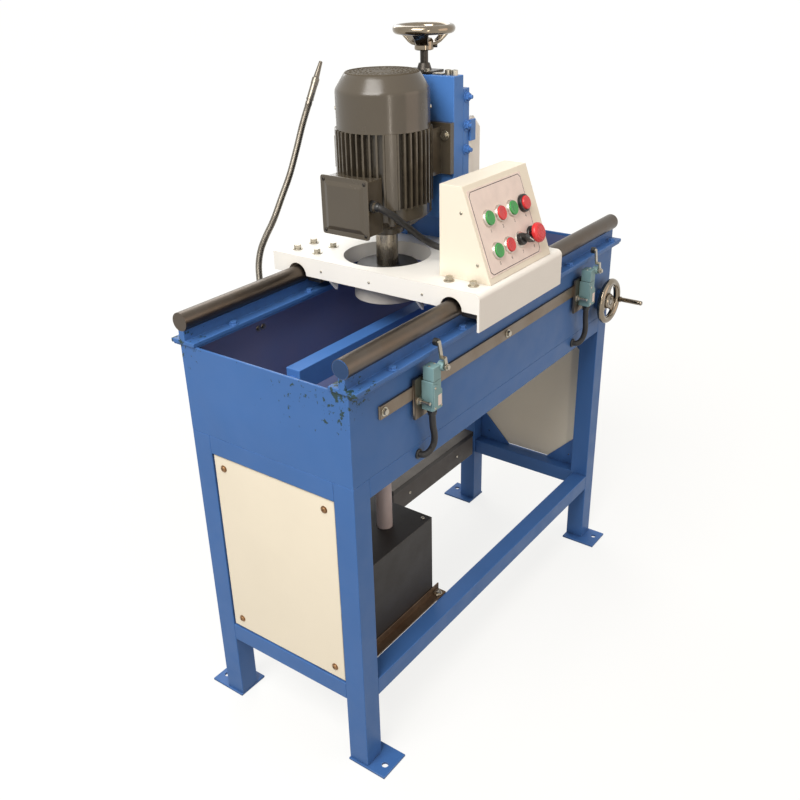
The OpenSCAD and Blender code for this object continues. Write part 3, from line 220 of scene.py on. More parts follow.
def plate(bm, outline, thickness, place):
    """Flat plate: an outline in the placement's XY, thickened along its Z."""
    verts = [bm.verts.new(place @ Vector((x, y, 0))) for x, y in outline]
    face = bm.faces.new(verts)
    made = bmesh.ops.extrude_face_region(bm, geom=[face])["geom"]
    top = [v for v in made if isinstance(v, bmesh.types.BMVert)]
    bmesh.ops.translate(bm, verts=top, vec=place.to_3x3() @ Vector((0, 0, thickness)))
    return verts + top


def hex_bolt(bm, place, across, height, washer=True):
    """Hex head with a chamfered crown, on a washer, standing on the placement's XY."""
    foot = 0.0
    if washer:
        foot = 0.14 * across
        lathe(bm, [(0, 0), (0.76 * across, 0), (0.79 * across, 0.03 * across),
                   (0.79 * across, foot - 0.03 * across), (0.76 * across, foot), (0, foot)], place, 28)
    corner = across / math.sqrt(3)
    head = bmesh.ops.create_cone(
        bm, cap_ends=True, segments=6, radius1=corner, radius2=corner, depth=height,
        matrix=place @ moved(0, 0, foot + height / 2))["verts"]
    up = place.to_3x3() @ Vector((0, 0, 1))
    crown = sorted(head, key=lambda v: v.co.dot(up))[6:]
    soften(bm, edges_of(crown), 0.09 * across, 2)


def cross_screw(bm, place, radius):
    """Pan head with a cross recess, standing on the placement's XY."""
    rise = 0.55 * radius
    dome = [(0, 0), (radius, 0), (radius, 0.35 * rise), (0.93 * radius, 0.62 * rise),
            (0.72 * radius, 0.88 * rise), (0.4 * radius, rise)]
    lathe(bm, dome + [(0.4 * radius, 0.7 * rise), (0, 0.7 * rise)], place, 24)
    for turn in (0, 90):
        bar = place @ rotated(turn, "Z")
        half = Vector((0.36 * radius, 0.07 * radius, 0))
        verts = block(bm, -half + Vector((0, 0, 0.68 * rise)), half + Vector((0, 0, 0.8 * rise)))
        bmesh.ops.transform(bm, matrix=bar, verts=verts)


def route(points, steps):
    """Points on one smooth curve through the given points."""
    points = [Vector(p) for p in points]
    last = len(points) - 1
    out = []
    for step in range(steps + 1):
        at = step / steps * last
        i = min(int(at), last - 1)
        t = at - i
        a, b, c, d = points[max(i - 1, 0)], points[i], points[i + 1], points[min(i + 2, last)]
        out.append(0.5 * (2 * b + (c - a) * t + (2 * a - 5 * b + 4 * c - d) * t * t
                          + (3 * b - a - 3 * c + d) * t ** 3))
    return out


def sweep(bm, points, radius_at, sides):
    """Closed tube through points, with a radius for each of them."""
    count = len(points)
    ways = [(points[min(i + 1, count - 1)] - points[max(i - 1, 0)]).normalized() for i in range(count)]
    turn = ways[0].to_track_quat("Z", "Y")
    place = Matrix.Translation(points[0]) @ turn.to_matrix().to_4x4()
    size = radius_at(0)
    ring = bmesh.ops.create_circle(bm, cap_ends=True, segments=sides, radius=size, matrix=place)["verts"]
    loop = edges_of(ring)
    for i in range(1, count):
        turn = ways[i - 1].rotation_difference(ways[i]) @ turn
        ahead = Matrix.Translation(points[i]) @ turn.to_matrix().to_4x4()
        grow = radius_at(i) / size
        made = bmesh.ops.extrude_edge_only(bm, edges=loop)["geom"]
        ring = [v for v in made if isinstance(v, bmesh.types.BMVert)]
        bmesh.ops.transform(bm, matrix=ahead @ Matrix.Scale(grow, 4) @ place.inverted(), verts=ring)
        loop = [e for e in made if isinstance(e, bmesh.types.BMEdge) and set(e.verts) <= set(ring)]
        place, size = ahead, radius_at(i)
    bmesh.ops.edgeloop_fill(bm, edges=loop)


def finish(name, bm, material, body, replaces=(), smooth=35):
    """Make a mesh in millimetres a finished piece in metres that rides on a body."""
    bmesh.ops.remove_doubles(bm, verts=bm.verts, dist=0.002)
    bmesh.ops.recalc_face_normals(bm, faces=bm.faces)
    bmesh.ops.scale(bm, vec=(METRES, METRES, METRES), verts=bm.verts)
    mesh = bpy.data.meshes.new(name)
    bm.to_mesh(mesh)
    bm.free()
    mesh.shade_smooth()
    mesh.set_sharp_from_angle(angle=math.radians(smooth))
    mesh.materials.append(finish_named(material))
    piece = bpy.data.objects.new(name, mesh)
    bpy.context.scene.collection.objects.link(piece)
    # Flat faces stay flat beside their rounded edges
    shading = piece.modifiers.new("flat_faces", "WEIGHTED_NORMAL")
    shading.keep_sharp = True
    if body:
        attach(piece, body)
    if replaces:
        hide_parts(*replaces)
    return piece


def finish_named(name):
    """A finish made by the finishes operator; the frame's own materials keep their plain names."""
    return bpy.data.materials["sharpener_" + name]


def body_of_node(node):
    """Name of the body that a CAD node rides on."""
    return next(body for body, nodes in frame["record"]["behaviour"]["bodies"].items() if node in nodes)


def stand_in(node, name, bm, material, smooth=35):
    """Make a mesh the finished piece that takes a CAD node's place on its body."""
    finish(name, bm, material, body_of_node(node), (node,), smooth)


def rounded_copy(node, material, width, segments, shortest, least_angle=50.0):
    """Stand in for a CAD node by a merged copy whose long sharp edges are rounded."""
    bm = bmesh.new()
    bm.from_mesh(frame["nodes"][node].data)
    bmesh.ops.scale(bm, vec=(1 / METRES, 1 / METRES, 1 / METRES), verts=bm.verts)
    bmesh.ops.remove_doubles(bm, verts=bm.verts, dist=0.005)
    bmesh.ops.dissolve_limit(bm, angle_limit=math.radians(0.5), verts=bm.verts, edges=bm.edges)
    sharp = [e for e in bm.edges if len(e.link_faces) == 2 and e.calc_length() > shortest
             and e.calc_face_angle(0.0) > math.radians(least_angle)]
    soften(bm, sharp, width, segments)
    stand_in(node, node + "_body", bm, material)


# Material helpers


class Finish:
    """A procedural material under construction."""

    def __init__(self, name, metallic=0.0, roughness=0.5):
        self.material = bpy.data.materials.new("sharpener_" + name)
        self.material.use_nodes = True
        self.nodes = self.material.node_tree.nodes
        self.links = self.material.node_tree.links
        self.shader = self.nodes["Principled BSDF"]
        self.shader.inputs["Metallic"].default_value = metallic
        self.shader.inputs["Roughness"].default_value = roughness
        self.place = self.add("ShaderNodeTexCoord").outputs["Object"]

    def add(self, kind, **values):
        node = self.nodes.new(kind)
        for key, value in values.items():
            setattr(node, key, value)
        return node

    def link(self, source, target):
        self.links.new(source, target)

    def stretched(self, scale):
        """Object coordinates, scaled apart on the three axes."""
        node = self.add("ShaderNodeMapping")
        node.inputs["Scale"].default_value = scale
        self.link(self.place, node.inputs["Vector"])
        return node.outputs["Vector"]

    def noise(self, scale, detail=3.0, roughness=0.55, place=None):
        node = self.add("ShaderNodeTexNoise")
        node.inputs["Scale"].default_value = scale
        node.inputs["Detail"].default_value = detail
        node.inputs["Roughness"].default_value = roughness
        self.link(place or self.place, node.inputs["Vector"])
        return node.outputs["Fac"]

    def ranged(self, source, low, high, out_low=0.0, out_high=1.0):
        node = self.add("ShaderNodeMapRange")
        for key, value in (("From Min", low), ("From Max", high), ("To Min", out_low), ("To Max", out_high)):
            node.inputs[key].default_value = value
        self.link(source, node.inputs["Value"])
        return node.outputs["Result"]

    def maths(self, operation, first, second):
        node = self.add("ShaderNodeMath", operation=operation, use_clamp=True)
        for socket, value in zip(node.inputs, (first, second)):
            if isinstance(value, (int, float)):
                socket.default_value = value
            else:
                self.link(value, socket)
        return node.outputs["Value"]

    def mixed(self, factor, first, second):
        """Colour between two colours, each a colour or a socket."""
        node = self.add("ShaderNodeMix", data_type="RGBA")
        self.link(factor, node.inputs["Factor"])
        for socket, value in ((node.inputs[6], first), (node.inputs[7], second)):
            if isinstance(value, bpy.types.NodeSocket):
                self.link(value, socket)
            else:
                socket.default_value = (*value, 1.0)
        return node.outputs[2]

    def edges(self, radius):
        """One along sharp edges, zero on flats."""
        rounded = self.add("ShaderNodeBevel", samples=4)
        rounded.inputs["Radius"].default_value = radius
        true = self.add("ShaderNodeNewGeometry")
        dot = self.add("ShaderNodeVectorMath", operation="DOT_PRODUCT")
        self.link(rounded.outputs["Normal"], dot.inputs[0])
        self.link(true.outputs["Normal"], dot.inputs[1])
        return self.ranged(dot.outputs["Value"], 0.98, 0.75)

    def crevices(self, distance):
        """One in corners and gaps, zero on open faces."""
        shade = self.add("ShaderNodeAmbientOcclusion", samples=6)
        shade.inputs["Distance"].default_value = distance
        return self.ranged(shade.outputs["AO"], 0.9, 0.35)

    def nearness(self, centre, reach):
        """One at a place, falling to zero at a distance from it."""
        away = self.add("ShaderNodeVectorMath", operation="DISTANCE")
        self.link(self.place, away.inputs[0])
        away.inputs[1].default_value = centre
        return self.ranged(away.outputs["Value"], reach, 0.0)

    def within(self, box):
        """One inside an upright box, zero outside it."""
        split = self.add("ShaderNodeSeparateXYZ")
        self.link(self.place, split.inputs["Vector"])
        inside = None
        for axis, low, high in zip("XYZ", *box):
            above = self.maths("GREATER_THAN", split.outputs[axis], low)
            below = self.maths("LESS_THAN", split.outputs[axis], high)
            both = self.maths("MULTIPLY", above, below)
            inside = self.maths("MULTIPLY", inside, both) if inside else both
        return inside

    def bump(self, source, strength, distance):
        node = self.add("ShaderNodeBump")
        node.inputs["Strength"].default_value = strength
        node.inputs["Distance"].default_value = distance
        self.link(source, node.inputs["Height"])
        self.link(node.outputs["Normal"], self.shader.inputs["Normal"])

    def colour(self, source):
        self.link(source, self.shader.inputs["Base Color"])

    def rough(self, source):
        self.link(source, self.shader.inputs["Roughness"])


def shaded(colour, share):
    """A colour made darker or lighter by a share."""
    return tuple(min(1.0, part * share) for part in colour)


def sprayed_paint(
        name, colour, roughness, edge_wear_and_highlight, crevice_shade, drift=0.06, gloss=0.3, chips=None, inside_painted_light=None, matt=None):
    """Sprayed paint with drifting tone, edges of rubbed paint and painted highlight, and painted shade in
    corners and gaps; chips, painted light inside a box and a matt box where asked.
    """
    paint = Finish(name, roughness=roughness)
    paint.shader.inputs["Specular IOR Level"].default_value = gloss
    cloud = paint.ranged(paint.noise(5.0, 4.0), 0.3, 0.7)
    tone = paint.mixed(cloud, shaded(colour, 1.0 - drift), shaded(colour, 1.0 + 0.7 * drift))
    patches = paint.ranged(paint.noise(38.0), 0.35, 0.75, 0.15, 0.7)
    # Painted shade: a darker colour in corners and gaps, found by ambient occlusion and broken into patches
    tone = paint.mixed(paint.maths("MULTIPLY", paint.crevices(0.025), patches), tone, crevice_shade)
    scuffs = paint.ranged(paint.noise(55.0, 5.0), 0.36, 0.62, 0.1, 0.85)
    # Edges take the edge colour in scuffs: rubbed paint, and where that colour is pale, a painted edge
    # highlight too
    tone = paint.mixed(paint.maths("MULTIPLY", paint.edges(0.0025), scuffs), tone, edge_wear_and_highlight)
    # Painted light: a paler colour inside a box lifts the shade there
    if inside_painted_light:
        inside_light_amount = paint.ranged(paint.noise(14.0, 5.0), 0.25, 0.7, 0.66, 0.9)
        tone = paint.mixed(paint.maths("MULTIPLY", paint.within(inside_painted_light["box"]), inside_light_amount), tone, inside_painted_light["colour"])
    if chips:
        flecks = paint.noise(85.0, 6.0, 0.65)
        for centre, reach, lift in chips["places"]:
            near = paint.maths("MULTIPLY", paint.nearness(centre, reach), lift)
            flecks = paint.maths("ADD", flecks, near)
        tone = paint.mixed(paint.ranged(flecks, 0.73, 0.76), tone, chips["colour"])
    paint.colour(tone)
    sheen = paint.ranged(paint.noise(24.0, 4.0), 0.3, 0.75, roughness - 0.06, roughness + 0.09)
    if matt:
        flat = paint.within(matt)
        sheen = paint.maths("ADD", sheen, paint.maths("MULTIPLY", flat, 0.45))
        paint.link(paint.ranged(flat, 0, 1, gloss, 0.1), paint.shader.inputs["Specular IOR Level"])
    paint.rough(sheen)
    paint.bump(paint.noise(420.0, 2.0), 0.1, 0.0004)


def worked_metal(name, colour, roughness, stain, grain=(1, 1, 1), grain_scale=300.0, depth=0.06):
    """Bare metal: tool grain along one way, drifting stains and uneven gloss."""
    metal = Finish(name, metallic=1.0, roughness=roughness)
    lines = metal.noise(grain_scale, 3.0, place=metal.stretched(grain))
    patches = metal.ranged(metal.noise(14.0, 5.0, 0.6), 0.4, 0.7)
    tone = metal.mixed(lines, shaded(colour, 0.8), shaded(colour, 1.15))
    tone = metal.mixed(metal.maths("MULTIPLY", patches, 0.55), tone, stain)
    metal.colour(tone)
    metal.rough(metal.ranged(lines, 0.3, 0.7, max(0.04, roughness - 0.08), roughness + 0.1))
    metal.bump(lines, depth, 0.0003)


def moulded_plastic(name, colour, roughness, grain=700.0, depth=0.08):
    """Moulded plastic or rubber: fine texture and a slight drift of tone."""
    plastic = Finish(name, roughness=roughness)
    drift = plastic.noise(40.0, 3.0)
    plastic.colour(plastic.mixed(drift, shaded(colour, 0.86), shaded(colour, 1.1)))
    handling = plastic.noise(90.0)
    plastic.rough(plastic.ranged(handling, 0.3, 0.7, max(0.05, roughness - 0.06), roughness + 0.08))
    plastic.bump(plastic.noise(grain, 2.0), depth, 0.0002)
    return plastic


class SHARPENER_OT_finishes(bpy.types.Operator):
    """Make the paints, metals and plastics"""

    bl_idname = "sharpener.finishes"
    bl_label = "Finishes"

    def execute(self, context):
        colours = context.scene.sharpener_colours
        blue, white = tuple(colours.blue), tuple(colours.white)
        # Paler blue for edges: rubbed paint and a painted edge highlight
        pale_edge_wear_and_highlight = shaded(blue, 1.9)
        # Darker blue for the painted shade in corners and gaps
        blue_crevice_shade = srgb(50, 54, 66)
        wall, brim_edge, grille_depth = 3.0, 6.0, 4.0
        leg_low, leg_high = span("legs")
        inset = Vector((wall, wall, 0))
        floor, brim = Vector((0, 0, TRAY_LOW.z + 1)), Vector((0, 0, TRAY_HIGH.z - brim_edge))
        inside = (
            (Vector((leg_low.x, leg_low.y, 0)) + inset + floor) * METRES,
            (Vector((leg_high.x, leg_high.y, 0)) - inset + brim) * METRES)
        # Where the paint is chipped: a place, its reach in metres and how many flecks it gets
        corners = (
            (Vector((TRAY_LOW.x, leg_low.y, TRAY_HIGH.z)) * METRES, 0.11, 0.24),
            (Vector((TRAY_LOW.x, leg_high.y, TRAY_HIGH.z)) * METRES, 0.09, 0.22),
            (Vector((TRAY_LOW.x, leg_low.y / 3, TRAY_HIGH.z - 30)) * METRES, 0.15, 0.14))
        cover_low, cover_high = span("fan_cover")
        grille = (Vector((cover_low.x, cover_low.y, cover_high.z - grille_depth)) * METRES,
                  Vector((cover_high.x, cover_high.y, cover_high.z + grille_depth)) * METRES)
        sprayed_paint("stand_blue", blue, 0.42, pale_edge_wear_and_highlight, blue_crevice_shade)
        # A darker copy of the stand blue: painted shade on the front bar's painted end
        sprayed_paint("bar_end_painted_shade_blue", shaded(blue, 0.32), 0.5, pale_edge_wear_and_highlight, blue_crevice_shade)
        # The inside of the tray gets a paler colour as painted light
        sprayed_paint(
            "tray_blue", blue, 0.42, pale_edge_wear_and_highlight, blue_crevice_shade,
            chips={"places": corners, "colour": srgb(38, 62, 62)},
            inside_painted_light={"box": inside, "colour": srgb(112, 114, 150)})
        # Lighter copies of the stand blue: painted light on the column, slide, saddle and knife table
        sprayed_paint("column_painted_light_blue", shaded(blue, 1.35), 0.36, pale_edge_wear_and_highlight, blue_crevice_shade)
        sprayed_paint("table_painted_light_blue", shaded(blue, 1.35), 0.42, pale_edge_wear_and_highlight, blue_crevice_shade)
        sprayed_paint(
            "panel_cream", tuple(colours.cream), 0.5, srgb(222, 206, 180), srgb(150, 132, 108), 0.025)
        warm_white = (white[0] * 0.93, white[1] * 0.88, white[2] * 0.78)
        sprayed_paint("console_cream", warm_white, 0.46, srgb(222, 208, 186), srgb(160, 142, 120), 0.03)
        sprayed_paint("carriage_white", white, 0.46, srgb(222, 212, 198), srgb(160, 146, 130), 0.03)
        sprayed_paint(
            "motor_paint", tuple(colours.motor), 0.2, srgb(118, 108, 90), srgb(44, 40, 34), 0.08, 0.5,
            matt=grille)
        sprayed_paint("switch_teal", tuple(colours.teal), 0.4, srgb(164, 184, 184), srgb(58, 70, 74))
        sprayed_paint("tank_dark", srgb(50, 47, 44), 0.5, srgb(84, 78, 74), srgb(26, 24, 23))
        sprayed_paint("box_dark", srgb(84, 80, 76), 0.5, srgb(112, 106, 100), srgb(34, 32, 30))
        # Guide bars: oiled steel in a darkened colour that also paints in a dark reflection
        worked_metal("bar_steel_painted_dark_reflection", tuple(colours.steel), 0.38, srgb(92, 78, 64), (4, 60, 60), 24.0, 0.03)
        worked_metal("flat_steel", srgb(128, 117, 104), 0.38, srgb(104, 84, 62), (5, 60, 60), 20.0)
        worked_metal("rack_steel", srgb(118, 100, 82), 0.5, srgb(84, 58, 38), (5, 40, 40), 20.0)
        worked_metal("zinc", srgb(186, 180, 166), 0.32, srgb(140, 126, 104))
        worked_metal("turned_steel", srgb(154, 147, 136), 0.24, srgb(108, 96, 80), (40, 40, 4), 20.0)
        worked_metal("hose_steel", srgb(128, 122, 112), 0.28, srgb(84, 74, 62))
        worked_metal("dark_steel", srgb(72, 68, 64), 0.4, srgb(50, 46, 42), (30, 30, 30), 12.0)
        # Plating in a darkened colour: painted dark reflection
        worked_metal("chrome", tuple(colours.chrome), 0.12, srgb(120, 106, 88), (20, 20, 20), 12.0, 0.01)
        worked_metal("satin_bezel", srgb(206, 200, 190), 0.34, srgb(176, 168, 156))
        worked_metal("brass_screw", srgb(158, 122, 88), 0.4, srgb(88, 66, 46))
        moulded_plastic("pipe_plastic", srgb(188, 174, 172), 0.5)
        moulded_plastic("black_rubber", srgb(30, 28, 27), 0.55, 500.0, 0.15)
        moulded_plastic("black_plastic", srgb(26, 26, 26), 0.35)
        moulded_plastic("red_plastic", tuple(colours.red), 0.28)
        moulded_plastic("green_plastic", tuple(colours.green), 0.3)
        moulded_plastic("pale_mark", srgb(228, 224, 214), 0.5)
        moulded_plastic("label_plate", srgb(240, 222, 212), 0.42)
        moulded_plastic("label_ink", srgb(58, 46, 44), 0.5)
        # The wheel's grit takes the place of the fine texture
        grit = moulded_plastic("abrasive", srgb(221, 214, 201), 0.9)
        grit.bump(grit.noise(1300.0, 3.0, 0.7), 0.55, 0.0006)
        return {"FINISHED"}


# Shared places, in millimetres, read from the solids
TRAY_LOW, TRAY_HIGH = span("tray")
CAR_LOW, CAR_HIGH = span("carriage_plate")
CONSOLE_LOW, CONSOLE_HIGH = span("console_housing")
WHEEL_MID = middle("grinding_wheel")
AXIS_X, AXIS_Y = WHEEL_MID.x, WHEEL_MID.y
BARS_LOW, BARS_HIGH = span("guide_bars")
BAR_R = (BARS_HIGH.z - BARS_LOW.z) / 2
BAR_Y = (BARS_HIGH.y - BARS_LOW.y) / 2 - BAR_R
SWITCH_X = (-303.0, 330.0)  # middles of the near and the far switch
SWITCH_Y = span("switch_strip")[0].y


def on_axis(height):
    """Placement on the motor's axis at a height."""
    return moved(AXIS_X, AXIS_Y, height)


LAMPS = (
    # name, place, aim, width and height, power, colour
    ("key_light", (-2.4, -0.3, 3.2), (0.0, 0.0, 0.8), (2.0, 2.0), 114.0, (1.0, 0.98, 0.95)),
    ("front_strip", (-1.9, -2.4, 1.3), (-0.08, 0.04, 1.2), (0.16, 1.7), 9.0, (1.0, 0.9, 0.78)),
    ("front_light", (1.2, -3.1, 1.6), (0.0, 0.0, 0.7), (2.4, 2.4), 21.0, (1.0, 0.74, 0.58)),
    ("rear_light", (1.8, 2.4, 2.8), (0.0, 0.0, 0.9), (2.0, 2.0), 34.0, (1.0, 1.0, 1.0)),
)


class SHARPENER_OT_stage(bpy.types.Operator):
    """Set the camera, the floor and the studio light"""

    bl_idname = "sharpener.stage"
    bl_label = "Stage"

    def execute(self, context):
        scene = context.scene
        scene.view_settings.view_transform = "Standard"
        self.camera(scene)
        self.floor(scene)
        self.world(scene)
        for lamp in LAMPS:
            self.lamp(scene, *lamp)
        return {"FINISHED"}

    def camera(self, scene):
        # Solved from straight edges of the stand
        azimuth, elevation, roll = math.radians(-53.249), math.radians(26.487), 0.02543
        distance = 2.18717
        focal_pixels, picture_pixels = 909.58, 800
        target = Vector((0.05105, 0.11284, 0.51822))
        back = Vector((math.sin(azimuth) * math.cos(elevation), -math.cos(azimuth) * math.cos(elevation),
                       math.sin(elevation)))
        data = bpy.data.cameras.new("photo_camera")
        data.sensor_width = 36.0
        data.sensor_fit = "HORIZONTAL"
        data.lens = data.sensor_width * focal_pixels / picture_pixels
        camera = bpy.data.objects.new("photo_camera", data)
        scene.collection.objects.link(camera)
        turn = pointed(back) @ Matrix.Rotation(-roll, 4, "Z")
        camera.matrix_world = Matrix.Translation(target + back * distance) @ turn
        scene.camera = camera

    def floor(self, scene):
        half_width = 45.0
        bm = bmesh.new()
        bmesh.ops.create_grid(bm, x_segments=1, y_segments=1, size=half_width)
        mesh = bpy.data.meshes.new("floor")
        bm.to_mesh(mesh)
        bm.free()
        floor = bpy.data.objects.new("floor", mesh)
        scene.collection.objects.link(floor)
        material = bpy.data.materials.new("floor_white")
        material.use_nodes = True
        nodes, links = material.node_tree.nodes, material.node_tree.links
        matt = nodes["Principled BSDF"]
        matt.inputs["Base Color"].default_value = (0.2, 0.2, 0.198, 1.0)
        matt.inputs["Roughness"].default_value = 0.95
        matt.inputs["Specular IOR Level"].default_value = 0.0
        glow = nodes.new("ShaderNodeEmission")
        glow.inputs["Color"].default_value = (1.0, 1.0, 0.985, 1.0)
        place = nodes.new("ShaderNodeTexCoord")
        reach = nodes.new("ShaderNodeVectorMath")
        reach.operation = "LENGTH"
        links.new(place.outputs["Object"], reach.inputs[0])
        # The floor glows more away from the feet, so the background stays white round a soft shadow
        lift = nodes.new("ShaderNodeMapRange")
        for key, value in (("From Min", 0.8), ("From Max", 5.0), ("To Min", 0.8), ("To Max", 0.93)):
            lift.inputs[key].default_value = value
        links.new(reach.outputs["Value"], lift.inputs["Value"])
        strength = nodes.new("ShaderNodeMath")
        strength.operation = "MULTIPLY"
        links.new(self.background_rays(nodes, links), strength.inputs[0])
        links.new(lift.outputs["Result"], strength.inputs[1])
        links.new(strength.outputs["Value"], glow.inputs["Strength"])
        both = nodes.new("ShaderNodeAddShader")
        links.new(matt.outputs["BSDF"], both.inputs[0])
        links.new(glow.outputs["Emission"], both.inputs[1])
        links.new(both.outputs["Shader"], nodes["Material Output"].inputs["Surface"])
        mesh.materials.append(material)

    def background_rays(self, nodes, links):
        """One for the rays that see the background, straight or in a reflection."""
        path = nodes.new("ShaderNodeLightPath")
        seen = path.outputs["Is Camera Ray"]
        for other in ("Is Glossy Ray", "Is Transmission Ray"):
            either = nodes.new("ShaderNodeMath")
            either.operation = "MAXIMUM"
            links.new(seen, either.inputs[0])
            links.new(path.outputs[other], either.inputs[1])
            seen = either.outputs["Value"]
        return seen

    def world(self, scene):
        world = bpy.data.worlds.new("studio")
        world.use_nodes = True
        nodes, links = world.node_tree.nodes, world.node_tree.links
        soft = nodes["Background"]
        soft.inputs["Color"].default_value = (1.0, 0.96, 0.91, 1.0)
        soft.inputs["Strength"].default_value = 0.46
        bright = nodes.new("ShaderNodeBackground")
        bright.inputs["Color"].default_value = (1.0, 1.0, 0.985, 1.0)
        bright.inputs["Strength"].default_value = 1.0
        mix = nodes.new("ShaderNodeMixShader")
        links.new(self.background_rays(nodes, links), mix.inputs["Fac"])
        links.new(soft.outputs["Background"], mix.inputs[1])
        links.new(bright.outputs["Background"], mix.inputs[2])
        links.new(mix.outputs["Shader"], nodes["World Output"].inputs["Surface"])
        scene.world = world

    def lamp(self, scene, name, place, aim, size, power, colour):
        data = bpy.data.lights.new(name, "AREA")
        data.shape = "RECTANGLE"
        data.size, data.size_y = size
        data.energy = power
        data.color = colour
        lamp = bpy.data.objects.new(name, data)
        scene.collection.objects.link(lamp)
        way = Vector(aim) - Vector(place)
        lamp.matrix_world = Matrix.Translation(place) @ way.to_track_quat("-Z", "Y").to_matrix().to_4x4()


class SHARPENER_OT_cables(bpy.types.Operator):
    """Lay the motor cable, the switch conduits and the gooseneck hose"""

    bl_idname = "sharpener.cables"
    bl_label = "Cables and hose"

    def execute(self, context):
        self.motor_cable()
        self.switch_conduits()
        self.gooseneck(context.scene.sharpener_sizes.hose_ribs)
        return {"FINISHED"}

    def motor_cable(self):
        radius, gap = 6.5, 0.4
        gland_in, gland_up, entry_left, entry_up = 12, 58, 43, 28
        box_low = span("terminal_box")[0]
        start = Vector((box_low.x + gland_in, box_low.y - gap, box_low.z + gland_up))
        entry_x = (CONSOLE_LOW.x + CONSOLE_HIGH.x) / 2 - entry_left
        end = Vector((entry_x, CONSOLE_HIGH.y + gap, CAR_HIGH.z + entry_up))
        run = end - start
        # Shares of the run along X, Y and Z
        bends = (
            (0, 0, 0), (0, 0.05, 0), (0.015, 0.095, 0.03), (0.07, 0.134, 0.088), (0.16, 0.164, 0.157),
            (0.27, 0.194, 0.265), (0.36, 0.213, 0.363), (0.47, 0.243, 0.47), (0.585, 0.263, 0.588),
            (0.692, 0.302, 0.706), (0.8, 0.352, 0.814), (0.877, 0.431, 0.902), (0.931, 0.549, 0.961),
            (0.969, 0.688, 0.99), (0.992, 0.826, 1), (1, 0.925, 1), (1, 1, 1))
        points = [start + Vector([share * way for share, way in zip(bend, run)]) for bend in bends]
        bm = bmesh.new()
        sweep(bm, route(points, 110), lambda i: radius, 20)
        cable = finish("motor_cable_sheath", bm, "black_rubber", None, ("motor_cable",))
        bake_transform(cable)
        bm = bmesh.new()
        entry = moved(end.x, CONSOLE_HIGH.y, end.z) @ BACK
        sleeve = [(12.5, 0), (12.5, 3), (10.5, 4), (9, 9), (7.5, 12)]
        lathe(bm, [(radius, 0), *sleeve, (radius, 12.5), (radius, 0)], entry, 32)
        finish("cable_grommet", bm, "black_rubber", "carriage")
        bm = bmesh.new()
        nut = moved(start.x, box_low.y, start.z) @ FRONT
        hex_bolt(bm, nut @ moved(0, 0, -12), 20.5, 7, False)
        lathe(bm, [(radius, 0), (9, 0), (9, 3), (8.4, 5), (7.4, 7), (radius, 7.2), (radius, 0)], nut, 32)
        finish("cable_gland_nut", bm, "black_plastic", "head")

    def switch_conduits(self):
        low_z, crest, valley = span("switch_bodies")[0].z, 6.5, 6.15
        # From the middle of a switch's lower end
        route_points = [
            (0, -14, 0), (0, -14, -12), (1, -14, -25), (4, -13, -40), (9, -12, -55), (13, -10, -70),
            (13, -8, -82), (8, -6, -91), (-1, -4, -96), (-9, -1, -97), (-12, 4, -97), (-12, 10, -97)]
        bm = bmesh.new()
        fittings = bmesh.new()
        for x in SWITCH_X:
            start = Vector((x, SWITCH_Y, low_z))
            path = route([start + Vector(p) for p in route_points], 110)
            sweep(bm, path, lambda i: crest if i % 2 else valley, 18)
            top = Matrix.Translation(path[0]) @ DOWN
            hex_bolt(fittings, top, 18.5, 6.5, False)
            lathe(fittings, [(6.2, 5), (8.4, 5), (8.4, 11), (7.4, 13), (6.2, 13), (6.2, 5)], top, 28)
            end = Matrix.Translation(path[-1]) @ FRONT
            ring = [(6.3, 0), (10, 0), (10, 2.4), (8.6, 4), (7, 4.4), (6.3, 4.4), (6.3, 0)]
            lathe(fittings, ring, end, 28)
        stand_in("switch_conduits", "switch_conduit_sleeves", bm, "black_rubber")
        finish("conduit_glands", fittings, "black_plastic", "stand")

    def gooseneck(self, ribs):
        low, high = span("gooseneck_hose")
        y = (low.y + high.y) / 2
        foot_x = -226.0
        # Over and up from the foot
        bends = (
            (0, 0), (0, 30), (2, 58), (12, 86), (30, 110), (57, 139), (86, 179), (116, 221), (142, 268),
            (166, 315), (188, 352))
        points = [(foot_x + over, y, low.z + up) for over, up in bends]
        valley, crest = 6.4, (0.0, 0.45, 0.6, 0.45)
        rings = len(crest) * ribs
        bm = bmesh.new()
        sweep(bm, route(points, rings), lambda i: valley + crest[i % len(crest)], 16)
        stand_in("gooseneck_hose", "gooseneck_sleeve", bm, "hose_steel", 60)
        nozzle_low = Vector(points[-1])
        way = (nozzle_low - Vector(points[-2])).normalized()
        place = Matrix.Translation(nozzle_low) @ pointed(way)
        profile = [
            (3.5, 0), (6.6, 0), (7.2, 1), (7.2, 7), (6.4, 8), (6.4, 10), (7.9, 11), (7.9, 14), (7.4, 14.6),
            (7.4, 44), (7.9, 45), (7.9, 57), (6.6, 59), (6.0, 61), (4.2, 86), (3.7, 93.5), (3.4, 94),
            (2, 94), (2, 58), (3.5, 54), (3.5, 0)]
        bm = bmesh.new()
        lathe(bm, profile, place, 36)
        stand_in("spray_nozzle", "spray_nozzle_turned", bm, "hose_steel")
        bm = bmesh.new()
        nut, tall = 12, 36
        foot = moved(foot_x, y, span("hose_bracket")[1].z - tall)
        hex_bolt(bm, foot, 20, nut, False)
        lathe(bm, [(0, nut), (9.4, nut), (9.4, 26), (8.6, 27), (8.6, tall), (0, tall)], foot, 32)
        finish("hose_fitting", bm, "zinc", "stand")


